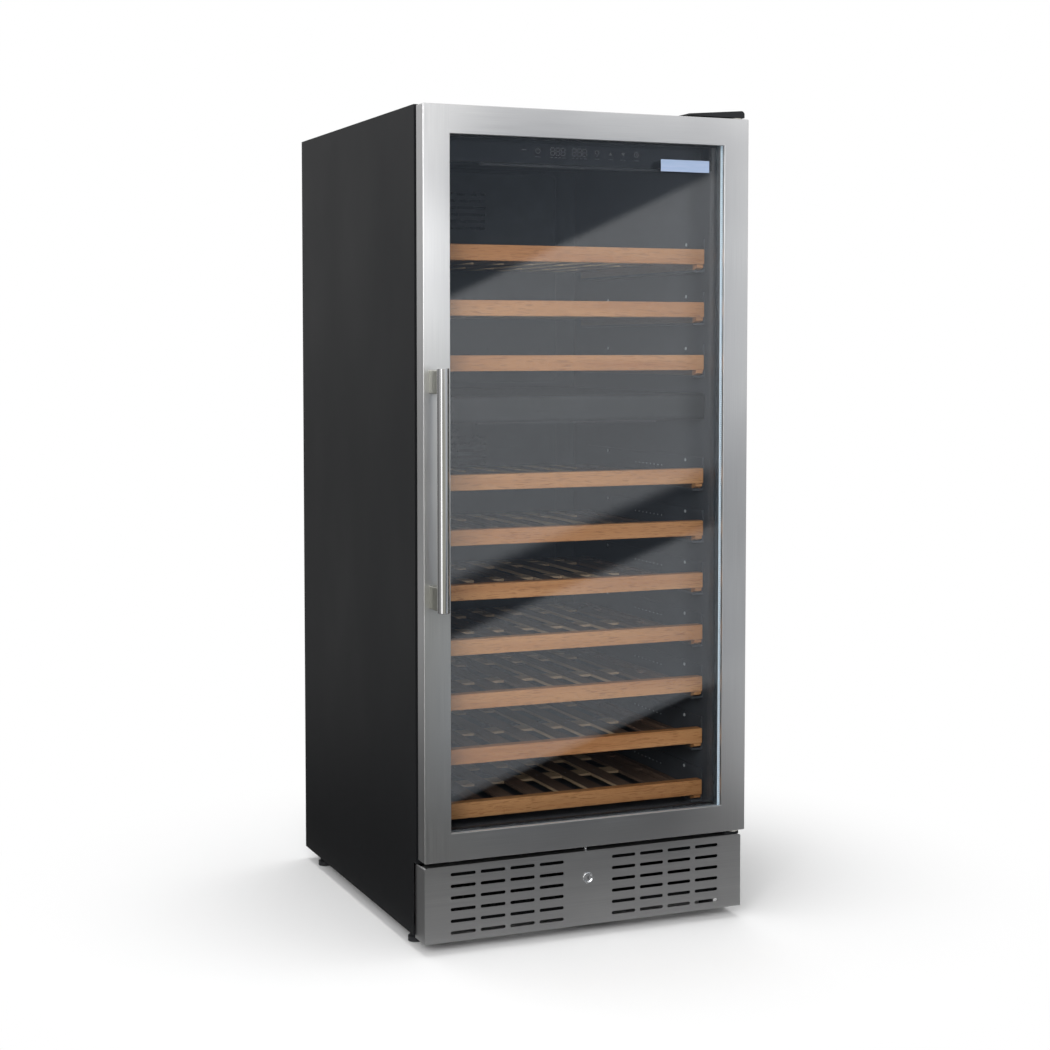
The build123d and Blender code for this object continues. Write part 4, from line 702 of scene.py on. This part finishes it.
def doorCloth(tree, cloth, axes):
    across, up = axes[0], axes[2]
    tones = {}
    for key, value in (("lit", up), ("upper", across), ("warm", up)):
        low, high, start, end = cloth[key]
        share = addNode(tree, "ShaderNodeMapRange", {"Value": value, "From Min": start, "From Max": end})
        tones[key] = addNode(tree, "ShaderNodeMix", {0: share.outputs[0], 6: linear(low), 7: linear(high)},
                             data_type="RGBA").outputs[2]
    # the slanting bands, from the lowest up, dimmed at the right rim
    bands = linear(cloth["lower"])
    aboveLines = (tones["lit"], linear(cloth["mid"]), tones["lit"], tones["upper"])
    for (slope, start, soft), above in zip(cloth["lines"], aboveLines):
        height = addNode(tree, "ShaderNodeMath", {0: across, 1: -slope, 2: up}, operation="MULTIPLY_ADD")
        sockets = {"Value": height.outputs[0], "From Min": start - soft, "From Max": start + soft}
        edge = addNode(tree, "ShaderNodeMapRange", sockets, interpolation_type="SMOOTHSTEP")
        bands = addNode(tree, "ShaderNodeMix", {0: edge.outputs[0], 6: bands, 7: above},
                        data_type="RGBA").outputs[2]
    start, end, dim = cloth["rim"]
    rim = addNode(tree, "ShaderNodeMapRange", {"Value": across, "From Min": start, "From Max": end,
                                               "To Min": 1.0, "To Max": dim})
    bands = addNode(tree, "ShaderNodeMix", {0: 1.0, 6: bands, 7: rim.outputs[0]}, data_type="RGBA",
                    blend_type="MULTIPLY").outputs[2]
    # soft edges: 0 before each and 1 past it
    past = {}
    for key, (start, soft) in cloth["edges"].items():
        value = up if key == "top" else across
        sockets = {"Value": value, "From Min": start - soft, "From Max": start + soft}
        past[key] = addNode(tree, "ShaderNodeMapRange", sockets, interpolation_type="SMOOTHSTEP").outputs[0]
    between = addNode(tree, "ShaderNodeMath", {0: past["left"], 1: past["right"]}, operation="SUBTRACT")
    below = addNode(tree, "ShaderNodeMath", {0: 1.0, 1: past["top"]}, operation="SUBTRACT")
    inside = addNode(tree, "ShaderNodeMath", {0: between.outputs[0], 1: below.outputs[0]},
                     operation="MULTIPLY").outputs[0]
    panel = addNode(tree, "ShaderNodeMath", {0: past["panelFrom"], 1: past["panelTo"]}, operation="SUBTRACT")
    # the surround, its tint and the white panel
    surrounds = ("surround", "surroundRight", "gripLevels")
    left, right, grip = [lightAlong(tree, up, cloth[key]) for key in surrounds]
    level = addNode(tree, "ShaderNodeMix", {0: past["middle"], 2: left, 3: right}).outputs[0]
    level = addNode(tree, "ShaderNodeMix", {0: past["far"], 2: level, 3: cloth["farLevel"]}).outputs[0]
    level = addNode(tree, "ShaderNodeMix", {0: past["grip"], 2: grip, 3: level}).outputs[0]
    tint = addNode(tree, "ShaderNodeMix", {0: past["middle"], 6: tones["warm"], 7: white}, data_type="RGBA")
    around = addNode(tree, "ShaderNodeMix", {0: 1.0, 6: level, 7: tint.outputs[2]}, data_type="RGBA",
                     blend_type="MULTIPLY").outputs[2]
    panelWhite = (cloth["panelLevel"],) * 3 + (1.0,)
    around = addNode(tree, "ShaderNodeMix", {0: panel.outputs[0], 6: around, 7: panelWhite},
                     data_type="RGBA").outputs[2]
    return addNode(tree, "ShaderNodeMix", {0: inside, 6: around, 7: bands}, data_type="RGBA").outputs[2]


y, (left, right), (low, high) = doorCard["y"], doorCard["x"], doorCard["z"]
corners = ((left, y, low), (right, y, low), (right, y, high), (left, y, high))
addCard("door_card", corners, doorCard, doorCloth)

# grey cloth to the right, for the shaded half of the handle's tube
rightCard = {"x": 2.0, "y": (-1.05, 0.2), "z": (0.004, 2.4), "grey": "#5C5C58"}


def rightCloth(tree, cloth, axes):
    return linear(cloth["grey"])


x, (front, back), (low, high) = rightCard["x"], rightCard["y"], rightCard["z"]
corners = ((x, back, low), (x, front, low), (x, front, high), (x, back, high))
addCard("right_card", corners, rightCard, rightCloth)

# grey cloth to the left, for the cabinet's side, the door's edge and the handle; it dims towards the back,
# with one paler stretch there, and has a bright window near its front
sideCard = {"x": -1.75, "y": (-3.2, 9.0), "z": (0.004, 2.4),
            "along": ((-3.2, 1.1), (-0.75, 1.2), (-0.2, 0.78), (0.5, 0.52), (2.3, 0.35), (2.9, 1.1),
                      (3.3, 1.4), (3.8, 1.4), (4.2, 0.44), (9.0, 0.32)),
            "levels": ((0.0, 0.32), (0.4, 0.36), (0.8, 0.46), (1.0, 0.58), (1.25, 0.76), (2.4, 0.8)),
            "edges": {"windowFrom": -1.7, "windowTo": -0.5, "windowLow": 1.05}, "soft": 0.1,
            "windowLevel": 2.2}


def sideCloth(tree, cloth, axes):
    along, up = axes[1], axes[2]
    byHeight, byLength = lightAlong(tree, up, cloth["levels"]), lightAlong(tree, along, cloth["along"])
    level = addNode(tree, "ShaderNodeMath", {0: byHeight, 1: byLength}, operation="MULTIPLY")
    past = {}
    for key, start in cloth["edges"].items():
        sockets = {"Value": up if key == "windowLow" else along, "From Min": start - cloth["soft"],
                   "From Max": start + cloth["soft"]}
        past[key] = addNode(tree, "ShaderNodeMapRange", sockets, interpolation_type="SMOOTHSTEP").outputs[0]
    between = addNode(tree, "ShaderNodeMath", {0: past["windowFrom"], 1: past["windowTo"]},
                      operation="SUBTRACT")
    window = addNode(tree, "ShaderNodeMath", {0: between.outputs[0], 1: past["windowLow"]},
                     operation="MULTIPLY")
    return addNode(tree, "ShaderNodeMix", {0: window.outputs[0], 2: level.outputs[0],
                                           3: cloth["windowLevel"]}).outputs[0]


x, (front, back), (low, high) = sideCard["x"], sideCard["y"], sideCard["z"]
corners = ((x, front, low), (x, back, low), (x, back, high), (x, front, high))
addCard("side_card", corners, sideCard, sideCloth)

# dark cloths on the floor, in front of the door for the lower steel and along the left for the cabinet's side
floorCards = {
    "front_floor_card": {"x": (-2.2, 2.8), "y": (-1.05, -0.33),
                         "levels": ((-1.05, 0.05), (-0.8, 0.06), (-0.6, 0.22), (-0.33, 0.24))},
    "left_floor_card": {"x": (-1.75, -0.31), "y": (-0.33, 6.0),
                        "levels": ((-0.33, 0.12), (0.1, 0.10), (0.5, 0.08), (0.9, 0.11), (1.4, 0.21),
                                   (2.0, 0.3), (2.6, 0.4), (4.0, 0.6), (6.0, 0.7))},
}
floorCardUp = 0.003


def floorCloth(tree, cloth, axes):
    return lightAlong(tree, axes[1], cloth["levels"])


for name, cloth in floorCards.items():
    (left, right), (front, back) = cloth["x"], cloth["y"]
    corners = [(x, y, floorCardUp) for x, y in ((left, front), (right, front), (right, back), (left, back))]
    addCard(name, corners, cloth, floorCloth)

# lamps: a soft box at the front left, a broad fill from the left and a top light; mirrors see only the first
lamps = {
    "front_softbox": {"at": (-1.9, -3.5, 1.9), "to": (0.0, -0.3, 0.8), "size": (2.0, 1.4), "watts": 96,
                      "mirrored": True},
    "left_fill": {"at": (-2.6, -2.4, 1.6), "to": (0.0, -0.2, 0.8), "size": (1.6, 2.0), "watts": 32,
                  "mirrored": False},
    "top_light": {"at": (0.0, 0.2, 3.2), "to": (0.0, 0.0, 0.0), "size": (2.0, 2.0), "watts": 66,
                  "mirrored": False},
}
for name, lamp in lamps.items():
    data = bpy.data.lights.new(name, "AREA")
    data.shape = "RECTANGLE"
    data.size, data.size_y = lamp["size"]
    data.energy = lamp["watts"]
    holder = bpy.data.objects.new(name, data)
    holder.location = lamp["at"]
    holder.visible_camera = False
    holder.visible_glossy = lamp["mirrored"]
    holder.rotation_euler = (Vector(lamp["to"]) - Vector(lamp["at"])).to_track_quat("-Z", "Y").to_euler()
    scene.collection.objects.link(holder)

# room: white wherever it is seen or mirrored, softer as light
room = {"seen": 1.0, "light": 0.4}
world = bpy.data.worlds.new("white_room")
scene.world = world
world.use_nodes = True
tree = world.node_tree
tree.nodes.remove(tree.nodes["Background"])
rays = addNode(tree, "ShaderNodeLightPath").outputs
mirrored = addNode(tree, "ShaderNodeMath", {0: rays["Is Camera Ray"], 1: rays["Is Glossy Ray"]},
                   operation="MAXIMUM")
seen = addNode(tree, "ShaderNodeMath", {0: mirrored.outputs[0], 1: rays["Is Transmission Ray"]},
               operation="MAXIMUM")
softLight = addNode(tree, "ShaderNodeBackground", {"Color": white, "Strength": room["light"]})
seenWhite = addNode(tree, "ShaderNodeBackground", {"Color": white, "Strength": room["seen"]})
both = addNode(tree, "ShaderNodeMixShader", {0: seen.outputs[0], 1: softLight.outputs[0],
                                             2: seenWhite.outputs[0]})
tree.links.new(both.outputs[0], tree.nodes["World Output"].inputs["Surface"])
scene.view_settings.view_transform = "Standard"

# camera at the photograph's viewpoint, turned and dipped by radians; its framing is 75 of 1050 pixels low
shot = {"at": (-1.36044, -3.24211, 1.00192), "turn": 0.4009, "dip": 0.0539, "lens": 66.22, "sensor": 36,
        "drop": -75 / 1050, "reach": 60}
camera = bpy.data.cameras.new("viewpoint")
camera.lens = shot["lens"]
camera.sensor_width = shot["sensor"]
camera.shift_y = shot["drop"]
camera.clip_end = shot["reach"]
holder = bpy.data.objects.new("viewpoint", camera)
flat = math.cos(shot["dip"])
ahead = Vector((math.sin(shot["turn"]) * flat, math.cos(shot["turn"]) * flat, -math.sin(shot["dip"])))
holder.location = shot["at"]
holder.rotation_euler = ahead.to_track_quat("-Z", "Y").to_euler()
scene.collection.objects.link(holder)
scene.camera = holder
print("stage, lamps and camera made")

bpy.context.view_layer.update()
print("scene ready")
